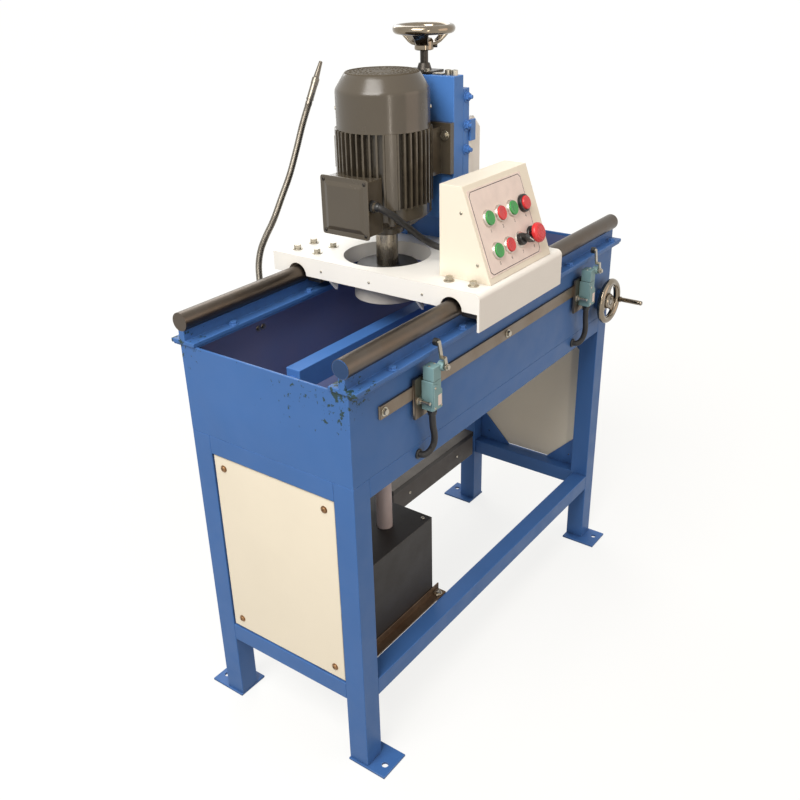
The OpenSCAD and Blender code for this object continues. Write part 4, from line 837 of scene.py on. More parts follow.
ROUNDED_NODES = (
    # node, material, what its edges are like, shortest edge that is rounded
    ("legs", "stand_blue", "tube", 30.0),
    ("rails", "stand_blue", "tube", 30.0),
    ("foot_plates", "stand_blue", "sheet", 12.0),
    ("corner_tabs", "stand_blue", "sheet", 20.0),
    ("end_panels", "panel_cream", "thin", 40.0),
    ("tray", "tray_blue", "sheet", 20.0),
    ("rail_bases", "tray_blue", "sheet", 7.5),
    ("table_bearings", "stand_blue", "casting", 15.0),
    ("knife_table", "table_painted_light_blue", "casting", 20.0),
    ("tank", "tank_dark", "thin", 40.0),
    ("tank_lid", "tank_dark", "thin", 40.0),
    ("tank_rack", "rack_steel", "thin", 12.0),
    ("electrical_box", "box_dark", "sheet", 30.0),
    ("hose_bracket", "flat_steel", "sheet", 15.0),
    ("switch_strip", "flat_steel", "thin", 4.0),
    ("carriage_plate", "carriage_white", "sheet", 20.0),
    ("bearing_blocks", "flat_steel", "casting", 14.0),
    ("console_housing", "console_cream", "folded", 40.0),
    ("column_bracket", "carriage_white", "sheet", 12.0),
    ("column_saddle", "column_painted_light_blue", "casting", 12.0),
    ("head_slide", "column_painted_light_blue", "casting", 12.0),
)

PLAIN_NODES = (
    ("guide_bars", "bar_steel_painted_dark_reflection"),
    ("drain_pipe", "pipe_plastic"),
    ("worm_wheel", "turned_steel"),
    ("worm_shaft", "turned_steel"),
    ("near_lever", "zinc"),
    ("far_lever", "zinc"),
    ("near_roller", "black_plastic"),
    ("far_roller", "black_plastic"),
    ("screw_bridge", "dark_steel"),
    ("motor_frame", "motor_paint"),
    ("terminal_box", "motor_paint"),
    ("rotor_shaft", "turned_steel"),
    ("wheel_arbor", "turned_steel"),
    ("motor_fan", "black_plastic"),
    ("grinding_wheel", "abrasive"),
    ("lead_screw", "dark_steel"),
)


class SHARPENER_OT_metalwork(bpy.types.Operator):
    """Round the edges of the welded and cast pieces, and finish the plain ones"""

    bl_idname = "sharpener.metalwork"
    bl_label = "Metalwork"

    def execute(self, context):
        sizes = context.scene.sharpener_sizes
        tube, sheet, casting = (
            width / METRES for width in (sizes.tube_round, sizes.sheet_round, sizes.casting_round))
        widths = {"tube": (tube, 4), "sheet": (sheet, 2), "thin": (sheet / 2, 2),
                  "folded": (6 * sheet, 5), "casting": (casting, 2)}
        for node, material, edge, shortest in ROUNDED_NODES:
            width, segments = widths[edge]
            rounded_copy(node, material, width, segments, shortest)
        for node, material in PLAIN_NODES:
            mesh = frame["nodes"][node].data
            mesh.materials.clear()
            mesh.materials.append(finish_named(material))
        return {"FINISHED"}


class SHARPENER_OT_fasteners(bpy.types.Operator):
    """Set the bolts and screws"""

    bl_idname = "sharpener.fasteners"
    bl_label = "Fasteners"

    def execute(self, context):
        across = context.scene.sharpener_sizes.bolt_across / METRES
        self.base_bolts(across)
        self.stand_bolts(across)
        self.panel_screws()
        self.carriage_bolts(across)
        return {"FINISHED"}

    def base_bolts(self, across):
        first, pitch, offset, base_t = TRAY_LOW.x + 108, 220.0, 20.0, 8.0
        top = TRAY_HIGH.z + base_t
        bm = bmesh.new()
        for i in range(5):
            for side in (-1, 1):
                for inner in (-1, 1):
                    place = moved(first + i * pitch, side * (BAR_Y + inner * offset), top)
                    turn = Matrix.Rotation(0.7 * i + side + inner, 4, "Z")
                    hex_bolt(bm, place @ turn, across - 1, 5.0)
        stand_in("stand_bolts", "base_bolts", bm, "tray_blue")

    def stand_bolts(self, across):
        strip_low, strip_high = span("switch_strip")
        tank_low, tank_high = span("tank")
        strip_t, from_end, above_middle = 5, 11, 13
        stud, plate_bolt = 25, Vector((-22, 0, -18))
        strip_z = (strip_low.z + strip_high.z) / 2 + above_middle
        bm = bmesh.new()
        for x in (strip_low.x + from_end, 0.0):
            hex_bolt(bm, moved(x, strip_high.y - strip_t, strip_z) @ FRONT, across - 2, 5.0)
        for x in SWITCH_X:
            foot = Vector((x, SWITCH_Y, strip_z)) + plate_bolt
            hex_bolt(bm, Matrix.Translation(foot) @ FRONT, 10, 4.5)
            rod(bm, foot, foot + Vector((0, -stud, 0)), 3, 16)
        for x in (tank_low.x + 10, tank_high.x + 5):
            for side in (-1, 1):
                hex_bolt(bm, moved(x, side * (tank_high.y + 11), tank_low.z + 3), across - 1, 5.0)
        rear_wall, below_brim = span("legs")[1].y - 4, 37
        for x in (-311, -297):
            hex_bolt(bm, moved(x, rear_wall, TRAY_HIGH.z - below_brim) @ FRONT, 8, 3.5)
        finish("strip_and_rack_bolts", bm, "zinc", "stand")
        bm = bmesh.new()
        # Blue paint on the front bar's end, in a darker copy of the blue as painted shade
        end = moved(BARS_LOW.x, -BAR_Y, BARS_HIGH.z - BAR_R) @ NEAR
        lathe(bm, [(0, 0), (BAR_R - 0.8, 0), (BAR_R - 0.8, 0.3), (BAR_R - 1.1, 0.5), (0, 0.5)], end, 48)
        finish("bar_end_paint", bm, "bar_end_painted_shade_blue", "stand")

    def panel_screws(self):
        low, high = span("panel_screws")
        panel_x = span("end_panels")[1].x
        cad_radius, washer_r, washer_t = 5, 7.4, 0.8
        bm = bmesh.new()
        for end, facing in ((-1, NEAR), (1, FAR)):
            for y in (low.y + cad_radius, high.y - cad_radius):
                for z in (low.z + cad_radius, high.z - cad_radius):
                    place = moved(end * panel_x, y, z) @ facing
                    lathe(bm, [(0, 0), (washer_r, 0), (washer_r, washer_t), (0, washer_t)], place, 28)
                    spin = Matrix.Rotation(0.8 * y + z, 4, "Z")
                    cross_screw(bm, place @ moved(0, 0, washer_t) @ spin, 6.0)
        stand_in("panel_screws", "panel_screw_heads", bm, "brass_screw")

    def carriage_bolts(self, across):
        low, high = span("bearing_blocks")
        half_block, bolt_dx, bolt_dy = 42.0, 26, 27
        bm = bmesh.new()
        for x in (low.x + half_block, high.x - half_block):
            for side in (-1, 1):
                for dx in (-bolt_dx, bolt_dx):
                    for dy in (-bolt_dy, bolt_dy):
                        place = moved(x + dx, side * BAR_Y + dy, CAR_HIGH.z)
                        hex_bolt(bm, place @ Matrix.Rotation(0.4 * dx + dy + side, 4, "Z"), across, 8.0)
        stand_in("carriage_bolts", "block_bolts", bm, "zinc")
        flange_screws, flange_drop = (125.0, 2.0, -125.0), 24
        console_screws = ((-178.0, 1057.0), (-215.0, 964.0))
        bm = bmesh.new()
        for y in flange_screws:
            cross_screw(bm, moved(CAR_LOW.x, y, CAR_HIGH.z - flange_drop) @ NEAR, 2.6)
        for y, z in console_screws:
            cross_screw(bm, moved(CONSOLE_LOW.x, y, z) @ NEAR, 3.2)
            cross_screw(bm, moved(CONSOLE_HIGH.x, y, z) @ FAR, 3.2)
        finish("sheet_screws", bm, "zinc", "carriage")


def handwheel(bm, place, radius, depth):
    """Dished handwheel: round rim, three broad arms and a hub."""
    section, hub, hub_h, bore = 8.5, 19.0, 22.0, 8.05
    rim, dish = radius - section, depth - section
    turns = [2 * math.pi * i / 20 for i in range(21)]
    lathe(bm, [(rim + section * math.cos(a), dish + section * math.sin(a)) for a in turns], place, 72)
    lathe(bm, [(bore, 0), (hub - 1.5, 0), (hub, 1.5), (hub, hub_h - 8), (hub - 1, hub_h - 4),
               (hub - 4, hub_h), (bore + 3, hub_h), (bore, hub_h - 2), (bore, 0)], place, 48)
    foot, rise = 13.0, dish - hub_h / 2
    # Along each arm: share of the way out, share of the rise, and half the width
    shares = (0, 0.18, 0.38, 0.58, 0.78, 0.92, 1)
    lifts = (0, 0.03, 0.17, 0.43, 0.75, 0.94, 1)
    wide = (13, 13, 13, 14, 17, 22, 29)
    for i in range(3):
        arm = place @ rotated(86 + 120 * i, "Z")
        before = set(bm.faces)
        line = []
        for share, lift, half in zip(shares, lifts, wide):
            at = Vector((foot + share * (rim - foot), 0, hub_h / 2 + lift * rise + 2.6))
            sides = [arm @ (at + Vector((0, side * half, 0))) for side in (-1, 1)]
            if line:
                made = bmesh.ops.extrude_edge_only(bm, edges=line)["geom"]
                ends = [v for v in made if isinstance(v, bmesh.types.BMVert)]
                line = [e for e in made if isinstance(e, bmesh.types.BMEdge) and set(e.verts) == set(ends)]
                ends.sort(key=lambda v: (v.co - sides[0]).length)
                for vert, side in zip(ends, sides):
                    vert.co = side
            else:
                line = [bm.edges.new([bm.verts.new(side) for side in sides])]
        skin = [f for f in bm.faces if f not in before]
        bmesh.ops.recalc_face_normals(bm, faces=skin)
        bmesh.ops.solidify(bm, geom=skin, thickness=5.2)
        shell = [f for f in bm.faces if f not in before]
        bmesh.ops.recalc_face_normals(bm, faces=shell)
        rims = {e for f in shell for e in f.edges if len(e.link_faces) == 2 and e.calc_face_angle(0.0) > 0.9}
        soften(bm, rims, 1.8, 3)


class SHARPENER_OT_handwheels(bpy.types.Operator):
    """Make the two handwheels and the crank"""

    bl_idname = "sharpener.handwheels"
    bl_label = "Handwheels"

    def execute(self, context):
        low, high = span("top_handwheel")
        mid = (low + high) / 2
        bm = bmesh.new()
        top = moved(mid.x, mid.y, low.z)
        handwheel(bm, top, (high.x - low.x) / 2, high.z - low.z)
        screw = top @ rotated(-53, "Z") @ moved(18.4, 0, 8)
        hex_bolt(bm, screw @ rotated(90, "Y"), 8, 8, False)
        stand_in("top_handwheel", "height_handwheel", bm, "chrome")
        low, high = span("front_handwheel")
        mid = (low + high) / 2
        bm = bmesh.new()
        front = moved(mid.x, high.y, mid.z) @ FRONT
        handwheel(bm, front, (high.z - low.z) / 2, high.y - low.y)
        stand_in("front_handwheel", "tilt_handwheel", bm, "chrome")
        low, high = span("crank_handle")
        mid = (low + high) / 2
        grip = moved(mid.x, high.y, mid.z) @ FRONT
        length = high.y - low.y
        bm = bmesh.new()
        lathe(bm, [(0, 0), (4, 0), (4, 9), (7, 9.5), (7, 12), (5.2, 12.6), (5.5, 18), (5.5, length - 9),
                   (4.9, length - 8), (4.9, length - 6.5), (5.5, length - 5.5), (5.5, length - 2),
                   (4.4, length), (0, length)], grip, 32)
        stand_in("crank_handle", "crank_grip", bm, "chrome")
        return {"FINISHED"}


class SHARPENER_OT_motor(bpy.types.Operator):
    """Make the fan cover, end bell, terminal lid and the motor's screws"""

    bl_idname = "sharpener.motor"
    bl_label = "Motor"

    def execute(self, context):
        self.fan_cover()
        self.end_bell()
        self.terminal_lid()
        self.small_parts()
        return {"FINISHED"}

    def fan_cover(self):
        low, high = span("fan_cover")
        radius = (high.x - low.x) / 2
        tall = high.z - low.z
        place = on_axis(low.z)
        wall = 1.6
        grille = radius - 25.5
        outside = [
            (radius - wall, 0), (radius, 0), (radius, 4), (radius - 0.5, 5), (radius - 0.5, 66),
            (radius - 1.2, 71), (radius - 3.4, 75), (radius - 15.5, tall - 10), (radius - 18.5, tall - 5.5),
            (radius - 21.5, tall - 2.4), (radius - 24, tall - 1.6), (grille, tall - 2.4)]
        inside = [(grille, tall - 4), (radius - 24, tall - 4), (radius - 20, tall - 8), (radius - 5, 74),
                  (radius - 0.6 - wall, 66), (radius - wall, 0)]
        bm = bmesh.new()
        lathe(bm, outside + inside, place, 96)
        # The grille is a disc with rings of slots cut in it, and a bar in every third sector
        slot, pitch, rings = 4.5, 9.5, 5
        starts = [grille - 4 - pitch * i for i in range(rings)]
        bands = [grille + 1.5] + [edge for start in starts for edge in (start, start - slot)] + [0.0]
        sectors = 72
        verts = [bm.verts.new(place @ Vector((r, 0, tall - 2.9))) for r in bands]
        lines = [bm.edges.new(pair) for pair in zip(verts, verts[1:])]
        before = set(bm.faces)
        bmesh.ops.spin(bm, geom=verts + lines, cent=place.translation, axis=(0, 0, 1), angle=2 * math.pi,
                       steps=sectors, use_merge=True)
        disc = [f for f in bm.faces if f not in before]
        gone, kept = [], []
        for face in disc:
            at = place.inverted() @ face.calc_center_median()
            r = math.hypot(at.x, at.y)
            sector = int(sectors * (math.atan2(at.y, at.x) / (2 * math.pi) % 1.0))
            band = next(i for i in range(len(bands) - 1) if bands[i + 1] <= r <= bands[i])
            open_band = band % 2 == 1 and band < len(bands) - 2
            (gone if open_band and sector % 3 else kept).append(face)
        bmesh.ops.delete(bm, geom=gone, context="FACES")
        bmesh.ops.recalc_face_normals(bm, faces=kept)
        bmesh.ops.solidify(bm, geom=kept, thickness=wall)
        stand_in("fan_cover", "fan_cover_pressing", bm, "motor_paint", 28)

    def end_bell(self):
        low, high = span("lower_end_bell")
        place = on_axis(low.z)
        core = (high.x - low.x) / 2
        profile = [
            (12.2, 0), (34, 0), (36, 1.5), (36, 13), (38, 15), (56, 18), (66, 23), (core - 9, 33),
            (core - 4, 36), (core, 40), (core, 62), (core - 1, 65), (60, 65), (60, 40), (44, 26),
            (12.2, 24), (12.2, 0)]
        bm = bmesh.new()
        lathe(bm, profile, place, 96)
        for i in range(4):
            lug = place @ rotated(45 + 90 * i, "Z")
            rod(bm, lug @ Vector((core - 2, 0, 38)), lug @ Vector((core - 2, 0, 65)), 8, 20)
            hex_bolt(bm, lug @ moved(core - 2, 0, 38) @ DOWN, 9, 4)
            web = plate(bm, [(37, 12), (core - 4, 34), (core - 4, 44), (37, 30)], 5,
                        lug @ rotated(90, "X") @ moved(0, 0, -2.5))
            bmesh.ops.recalc_face_normals(bm, faces=list({f for v in web for f in v.link_faces}))
        stand_in("lower_end_bell", "end_bell_casting", bm, "motor_paint", 28)

    def terminal_lid(self):
        low, high = span("terminal_lid")
        mid = (low + high) / 2
        margin, screw_in, overlap = 9.0, 8, 0.4
        flange, raised = 3.0, high.y - low.y - 2 * margin
        bm = bmesh.new()
        verts = block(bm, (high.x - flange, low.y, low.z), high)
        corners = [e for e in edges_of(verts) if abs(e.verts[0].co.x - e.verts[1].co.x) > 1]
        soften(bm, corners, 6, 5)
        soften(bm, [e for e in bm.edges if e.calc_face_angle(0.0) > 1.2], 0.8, 2)
        inside = high.x - flange + overlap
        pressed = along((inside, mid.y, mid.z), (low.x, mid.y, mid.z))
        verts = bmesh.ops.create_cone(
            bm, cap_ends=True, segments=4, radius1=raised / math.sqrt(2),
            radius2=(raised - 2 * margin) / math.sqrt(2), depth=inside - low.x,
            matrix=pressed @ rotated(45, "Z"))["verts"]
        soften(bm, edges_of(verts), 1.0, 3)
        stand_in("terminal_lid", "terminal_lid_pressing", bm, "motor_paint", 24)
        bm = bmesh.new()
        for y in (low.y + screw_in, high.y - screw_in):
            for z in (low.z + screw_in, high.z - screw_in):
                cross_screw(bm, moved(high.x - flange, y, z) @ NEAR, 3.4)
        finish("terminal_lid_screws", bm, "dark_steel", "head")

    def small_parts(self):
        frame_z = span("motor_frame")[0].z
        cover_low, cover_high = span("fan_cover")
        cover_r = (cover_high.x - cover_low.x) / 2
        screw_up, foot_t, foot_half, foot_drop = 36, 12, 84, 24
        bm = bmesh.new()
        for turn in (-56, 124):
            way = on_axis(cover_low.z + screw_up) @ rotated(turn, "Z")
            cross_screw(bm, way @ moved(cover_r - 0.6, 0, 0) @ FAR, 4.0)
        foot_x = span("head_slide")[0].x - foot_t
        for y in (AXIS_Y - foot_half, AXIS_Y + foot_half):
            hex_bolt(bm, moved(foot_x, y, cover_low.z - foot_drop) @ NEAR, 12, 6)
        finish("motor_screws", bm, "zinc", "head")
        fin_r, plate_up = 95.2, 96
        bm = bmesh.new()
        way = on_axis(frame_z + plate_up) @ rotated(120, "Z")
        plate(bm, [(-30, -10), (30, -10), (30, 10), (-30, 10)], 0.8, way @ moved(fin_r, 0, 0) @ FAR)
        finish("bare_rating_plate", bm, "satin_bezel", "head")
        wheel_low, wheel_high = span("grinding_wheel")
        wheel_r = (wheel_high.x - wheel_low.x) / 2
        # A thin dark skin over the flange and the back of the wheel: painted shade deep in the hole
        bm = bmesh.new()
        lathe(bm, [(22.8, 10), (61.5, 10), (62.3, 9.2), (62.3, 0), (wheel_r - 1, 0), (wheel_r - 1, 0.6),
                   (wheel_r - 1.6, 1.2), (63.1, 1.2), (63.1, 9.5), (61.8, 10.8), (22.8, 10.8), (22.8, 10)],
              on_axis(wheel_high.z), 64)
        finish("wheel_hole_painted_shade", bm, "tank_dark", body_of_node("grinding_wheel"))


class SHARPENER_OT_column(bpy.types.Operator):
    """Set the screws of the head slide, its gib and the bracket"""

    bl_idname = "sharpener.column"
    bl_label = "Column"

    def execute(self, context):
        slide_low, slide_high = span("head_slide")
        saddle_low, saddle_high = span("column_saddle")
        bridge_z, bridge_t = span("screw_bridge")[0].z, 5
        gib_heights, lock_height, bracket_heights = (195, 242, 297), 210, (60, 215)
        gib_in, stud, bridge_half, bracket_half, bracket_t = 11, 13.5, 27, 52, 10
        bm = bmesh.new()
        for up in gib_heights:
            place = moved(saddle_high.x - gib_in, saddle_low.y, CAR_HIGH.z + up) @ FRONT
            hex_bolt(bm, place, 14, 6)
            rod(bm, place.translation, place @ Vector((0, 0, stud)), 4, 18)
        finish("gib_screws", bm, "column_painted_light_blue", "carriage")
        bm = bmesh.new()
        lock = Vector((saddle_high.x, saddle_low.y, CAR_HIGH.z + lock_height))
        soft_block(bm, lock + Vector((-2, -5, 0)), lock + Vector((17, 0, 42)), 1.2)
        finish("slide_lock_plate", bm, "column_painted_light_blue", "carriage")
        bm = bmesh.new()
        heel = Vector((slide_low.x + 17, AXIS_Y, slide_high.z))
        soft_block(bm, heel + Vector((-8, -64, 0)), heel + Vector((8, -40, 3)), 0.6)
        for y in (heel.y - 72, heel.y - 87):
            place = moved(heel.x, y, heel.z)
            lathe(bm, [(0, 5), (3.4, 5), (3.4, 10), (5.8, 10), (6.6, 9.2), (6.6, 0), (0, 0)], place, 28)
        for y in (AXIS_Y - bridge_half, AXIS_Y + bridge_half):
            hex_bolt(bm, moved(slide_low.x + 12, y, bridge_z + bridge_t), 8, 4)
        hex_bolt(bm, moved(heel.x, AXIS_Y + 74, slide_high.z), 13, 7)
        finish("slide_top_screws", bm, "zinc", "head")
        bm = bmesh.new()
        face = span("column_bracket")[0].x + bracket_t
        for y in (AXIS_Y - bracket_half, AXIS_Y + bracket_half):
            for up in bracket_heights:
                hex_bolt(bm, moved(face, y, CAR_HIGH.z + up) @ FAR, 16, 8)
        finish("bracket_bolts", bm, "zinc", "carriage")
        return {"FINISHED"}


FACE_LEAN = 65.0  # how far the console's face leans back over its height
FACE_TILT = math.atan2(FACE_LEAN, CONSOLE_HIGH.z - CONSOLE_LOW.z)
BUTTON_PITCH = 43.5
COLUMNS = tuple(middle("green_button_left").x + BUTTON_PITCH * i for i in range(4))
ROWS = (116.0, 54.0)  # up the slope


def on_face(x, slope):
    """Placement on the console's slanted face: Y up the slope, Z out of it."""
    y = CONSOLE_LOW.y + slope * math.sin(FACE_TILT)
    z = CONSOLE_LOW.z + slope * math.cos(FACE_TILT)
    return moved(x, y, z) @ Matrix.Rotation(math.pi / 2 - FACE_TILT, 4, "X")


class SHARPENER_OT_console(bpy.types.Operator):
    """Make the console's label, bezels, push-buttons, selector and stop button"""

    bl_idname = "sharpener.console"
    bl_label = "Console"

    def execute(self, context):
        self.label()
        self.bezels()
        cap = [(0, -14), (5, -14), (5, 3), (13.4, 3), (13.5, 3.3), (13.5, 8.2), (12.9, 9), (11.6, 9),
               (10.6, 8.5), (0, 8.1)]
        for node, column, row, material in (
                ("green_button_left", 0, 0, "green_plastic"), ("green_button_right", 2, 0, "green_plastic"),
                ("green_button_lower", 0, 1, "green_plastic"), ("red_button_upper", 1, 0, "red_plastic"),
                ("red_button_lower", 1, 1, "red_plastic")):
            self.turned(node, column, row, material, cap)
        tall = [(0, -14), (5, -14), (5, 3), (13.5, 3), (13.5, 11.2), (12.6, 12.6), (10.8, 13), (0, 13)]
        self.turned("ringed_button", 3, 0, "red_plastic", tall)
        mushroom = [(0, -14), (5, -14), (5, 12.5), (14, 13.2), (16, 14), (19.2, 15), (20, 17), (19.8, 20),
                    (18.4, 23), (15.6, 25), (13.8, 25.2), (13.2, 24.6), (12.2, 24.6), (11.6, 25.4), (0, 26)]
        self.turned("stop_button", 3, 1, "red_plastic", mushroom)
        self.selector()
        return {"FINISHED"}

    def label(self):
        half, low, high = 97.0, 12.0, 176.0
        line_out, line_in, left_of_middle, numeral_drop = 3.0, 4.4, 12, 24.5
        place = on_face((CONSOLE_LOW.x + CONSOLE_HIGH.x) / 2 - left_of_middle, 0)
        bm = bmesh.new()
        verts = plate(bm, [(-half, low), (half, low), (half, high), (-half, high)], 0.8, place)
        soften(bm, edges_of(verts), 0.25, 1)
        plate(bm, self.notched(half - line_in, low + line_in, high - line_in, 6.6), 1.1, place)
        finish("console_label", bm, "label_plate", "carriage")
        bm = bmesh.new()
        plate(bm, self.notched(half - line_out, low + line_out, high - line_out, 7.0), 0.95, place)
        for row, slope in enumerate(ROWS):
            for column, x in enumerate(COLUMNS):
                number = on_face(x, slope - numeral_drop) @ moved(0, 0, 1.1)
                self.numeral(bm, str(4 * row + column + 1), number)
        finish("label_border", bm, "label_ink", "carriage")

    def notched(self, half, low, high, notch):
        """Outline of a rectangle with its corners cut off."""
        return [
            (notch - half, low), (half - notch, low), (half, low + notch), (half, high - notch),
            (half - notch, high), (notch - half, high), (-half, high - notch), (-half, low + notch)]

    def numeral(self, bm, digits, place):
        data = bpy.data.curves.new("numeral", "FONT")
        data.body = digits
        data.size = 9.0
        data.align_x = "CENTER"
        data.align_y = "CENTER"
        data.extrude = 0.07
        data.resolution_u = 3
        lettering = bpy.data.objects.new("numeral", data)
        mesh = bpy.data.meshes.new_from_object(lettering)
        mesh.transform(place @ moved(0, 0, 0.07))
        bm.from_mesh(mesh)
        bpy.data.objects.remove(lettering)
        bpy.data.curves.remove(data)
        bpy.data.meshes.remove(mesh)

    def bezels(self):
        pale = bmesh.new()
        ring = [(14, 0), (16.6, 0), (16.6, 2), (16, 4), (15.4, 5.6), (14.8, 6), (14.2, 6), (14, 5.6),
                (14, 0)]
        for column, row in ((0, 0), (1, 0), (2, 0), (0, 1), (1, 1)):
            lathe(pale, ring, on_face(COLUMNS[column], ROWS[row]), 48)
        lathe(pale, [(5.5, 0), (16, 0), (16, 2), (15.2, 3), (5.5, 3), (5.5, 0)],
              on_face(COLUMNS[2], ROWS[1]), 48)
        stand_in("button_bezels", "button_bezels_turned", pale, "satin_bezel")
        dark = bmesh.new()
        guard = [(14, 0), (17.6, 0), (17.6, 6.6), (17, 8.4), (15.8, 9), (14.4, 9), (14, 8.6), (14, 0)]
        lathe(dark, guard, on_face(COLUMNS[3], ROWS[0]), 48)
        lathe(dark, [(5.5, 0), (16, 0), (16, 4.5), (15, 6), (8.5, 6), (5.5, 6), (5.5, 0)],
              on_face(COLUMNS[3], ROWS[1]), 48)
        finish("dark_bezels", dark, "black_plastic", "carriage")

    def turned(self, node, column, row, material, profile):
        bm = bmesh.new()
        lathe(bm, profile, on_face(COLUMNS[column], ROWS[row]), 48)
        stand_in(node, node + "_cap", bm, material)

    def selector(self):
        place = on_face(COLUMNS[2], ROWS[1])
        bm = bmesh.new()
        lathe(bm, [(0, -14), (5, -14), (5, 3.3), (12, 3.3), (12, 8.6), (11.2, 10.6), (9.5, 11.3), (0, 11.3)],
              place, 48)
        turn = place @ rotated(-38, "Z")
        grip = [(-12, 3.6), (-12, -3.6), (4, -4.2), (16.5, -2.0), (17.5, 0), (16.5, 2.0), (4, 4.2)]
        verts = plate(bm, grip, 12, turn @ moved(0, 0, 11))
        soften(bm, edges_of(verts), 1.1, 2)
        stand_in("selector_knob", "selector_knob_moulded", bm, "black_plastic")
        bm = bmesh.new()
        plate(bm, [(1, -1.1), (14.5, -1.1), (15.6, 0), (14.5, 1.1), (1, 1.1)], 0.25,
              turn @ moved(0, 0, 22.95))
        finish("selector_mark", bm, "pale_mark", "selector_knob")


class SHARPENER_OT_switches(bpy.types.Operator):
    """Make the limit switches' cases"""

    bl_idname = "sharpener.switches"
    bl_label = "Limit switches"

    def execute(self, context):
        low, high = span("switch_bodies")
        depth, width, body_h, cover_t = 28.0, 28.0, 58.0, 3
        pivot_up, pivot_right = 80, 18
        front = SWITCH_Y - depth
        pivot_z = low.z + pivot_up
        case, trim, plates = bmesh.new(), bmesh.new(), bmesh.new()
        for x in SWITCH_X:
            left, right = x - width / 2, x + width / 2
            neck = low.z + body_h
            soft_block(case, (left, front + cover_t, low.z), (right, SWITCH_Y, neck), 1.6, 3)
            facing = moved(x, front + cover_t, low.z) @ FRONT
            cover = plate(case, [(-13, 2), (13, 2), (13, 38), (2, 49), (-13, 54)], cover_t, facing)
            soften(case, edges_of(cover), 0.9, 2)
            soft_block(case, (left + 2, front + 2, neck + 0.6),
                       (right - 2, SWITCH_Y - 2, high.z - 3), 1.6, 3)
            soft_block(case, (left + 5, front + 5, neck - 1), (right - 5, SWITCH_Y - 5, neck + 2), 0.4, 1)
            boss = moved(x + pivot_right, front + 10, pivot_z) @ FRONT
            lathe(case, [(4.1, 0), (9, 0), (9, 9), (8, 11.5), (4.1, 12), (4.1, 0)], boss, 32)
            for dx, dz in ((-9.5, 7), (9.5, 7), (-9.5, 47)):
                cross_screw(trim, facing @ moved(dx, dz, cover_t), 2.3)
            for dx in (-8, 8):
                top = moved(x + dx, SWITCH_Y - depth / 2, high.z - 3)
                cross_screw(trim, top, 2.2)
            tag = plate(plates, [(-1, 9), (10, 9), (10, 30), (-1, 30)], 0.5, facing @ moved(0, 0, cover_t))
            soften(plates, edges_of(tag), 0.2, 1)
        stand_in("switch_bodies", "switch_cases", case, "switch_teal")
        finish("switch_screws", trim, "zinc", "stand")
        finish("switch_bare_tags", plates, "label_plate", "stand")
        for side, x in zip(("near", "far"), SWITCH_X):
            bm = bmesh.new()
            hub = moved(x + pivot_right, front - 6.5, pivot_z) @ FRONT
            hex_bolt(bm, hub, 8, 4)
            finish(side + "_lever_screw", bm, "zinc", side + "_lever")
        return {"FINISHED"}


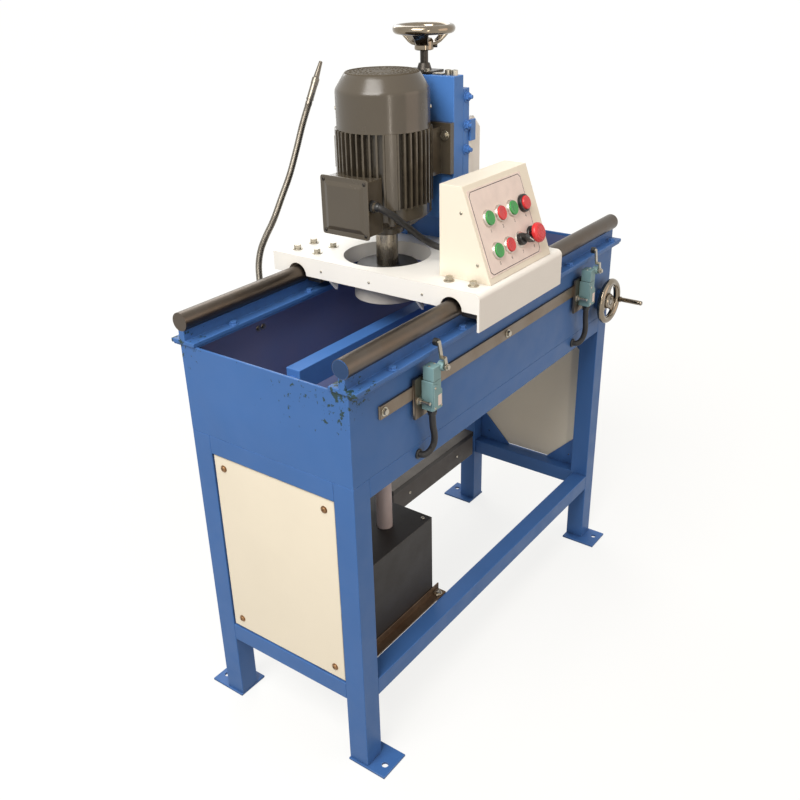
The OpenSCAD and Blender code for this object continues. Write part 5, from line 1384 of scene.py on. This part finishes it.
class SHARPENER_OT_coolant(bpy.types.Operator):
    """Dress the tank, its pipe and the electrical box"""

    bl_idname = "sharpener.coolant"
    bl_label = "Tank and box"

    def execute(self, context):
        tank_low, tank_high = span("tank")
        pipe_low, pipe_high = span("drain_pipe")
        lid_top = span("tank_lid")[1].z
        pipe = (pipe_low + pipe_high) / 2
        pipe_r = (pipe_high.x - pipe_low.x) / 2
        bm = bmesh.new()
        collar = moved(pipe.x, pipe.y, TRAY_LOW.z)
        lathe(bm, [(pipe_r, -34), (pipe_r + 4, -34), (pipe_r + 4.6, -33), (pipe_r + 4.6, -8),
                   (pipe_r + 9, -7), (pipe_r + 9, 0), (pipe_r, 0), (pipe_r, -34)], collar, 48)
        finish("drain_socket", bm, "pipe_plastic", "stand")
        lid_screw_in, box_screw_up = 14, 31
        bm = bmesh.new()
        for x in (tank_low.x + lid_screw_in, tank_high.x - lid_screw_in):
            for y in (tank_low.y + lid_screw_in, tank_high.y - lid_screw_in):
                cross_screw(bm, moved(x, y, lid_top), 4.0)
        box_low, box_high = span("electrical_box")
        for x in (box_low.x + 71, box_high.x - 81):
            cross_screw(bm, moved(x, box_low.y, box_low.z + box_screw_up) @ FRONT, 4.0)
        finish("box_screws", bm, "zinc", "stand")
        bm = bmesh.new()
        soft_block(bm, (box_low.x - 1, box_low.y - 1.2, box_high.z - 13),
                   (box_high.x + 1, box_high.y + 1, box_high.z + 1), 0.8)
        finish("electrical_box_cap", bm, "dark_steel", "stand")
        return {"FINISHED"}


class SHARPENER_PT_panel(bpy.types.Panel):
    """Lists the steps that dress the sharpener"""

    bl_idname = "SHARPENER_PT_panel"
    bl_label = "Blade sharpener"
    bl_space_type = "VIEW_3D"
    bl_region_type = "UI"
    bl_category = "Sharpener"

    def draw(self, context):
        layout = self.layout
        for group in (context.scene.sharpener_colours, context.scene.sharpener_sizes):
            for name in group.bl_rna.properties.keys():
                if name not in ("rna_type", "name"):
                    layout.prop(group, name)
        for step in STEPS:
            layout.operator(step.bl_idname)


STEPS = (
    SHARPENER_OT_finishes,
    SHARPENER_OT_stage,
    SHARPENER_OT_cables,
    SHARPENER_OT_metalwork,
    SHARPENER_OT_fasteners,
    SHARPENER_OT_handwheels,
    SHARPENER_OT_motor,
    SHARPENER_OT_column,
    SHARPENER_OT_console,
    SHARPENER_OT_switches,
    SHARPENER_OT_coolant,
)
CLASSES = (SharpenerColours, SharpenerSizes, *STEPS, SHARPENER_PT_panel)


def register():
    for cls in CLASSES:
        bpy.utils.register_class(cls)
    bpy.types.Scene.sharpener_colours = bpy.props.PointerProperty(type=SharpenerColours)
    bpy.types.Scene.sharpener_sizes = bpy.props.PointerProperty(type=SharpenerSizes)


def unregister():
    del bpy.types.Scene.sharpener_sizes
    del bpy.types.Scene.sharpener_colours
    for cls in reversed(CLASSES):
        bpy.utils.unregister_class(cls)


def main():
    register()
    for step in STEPS:
        group, name = step.bl_idname.split(".")
        getattr(getattr(bpy.ops, group), name)()


if __name__ == "__main__":
    main()
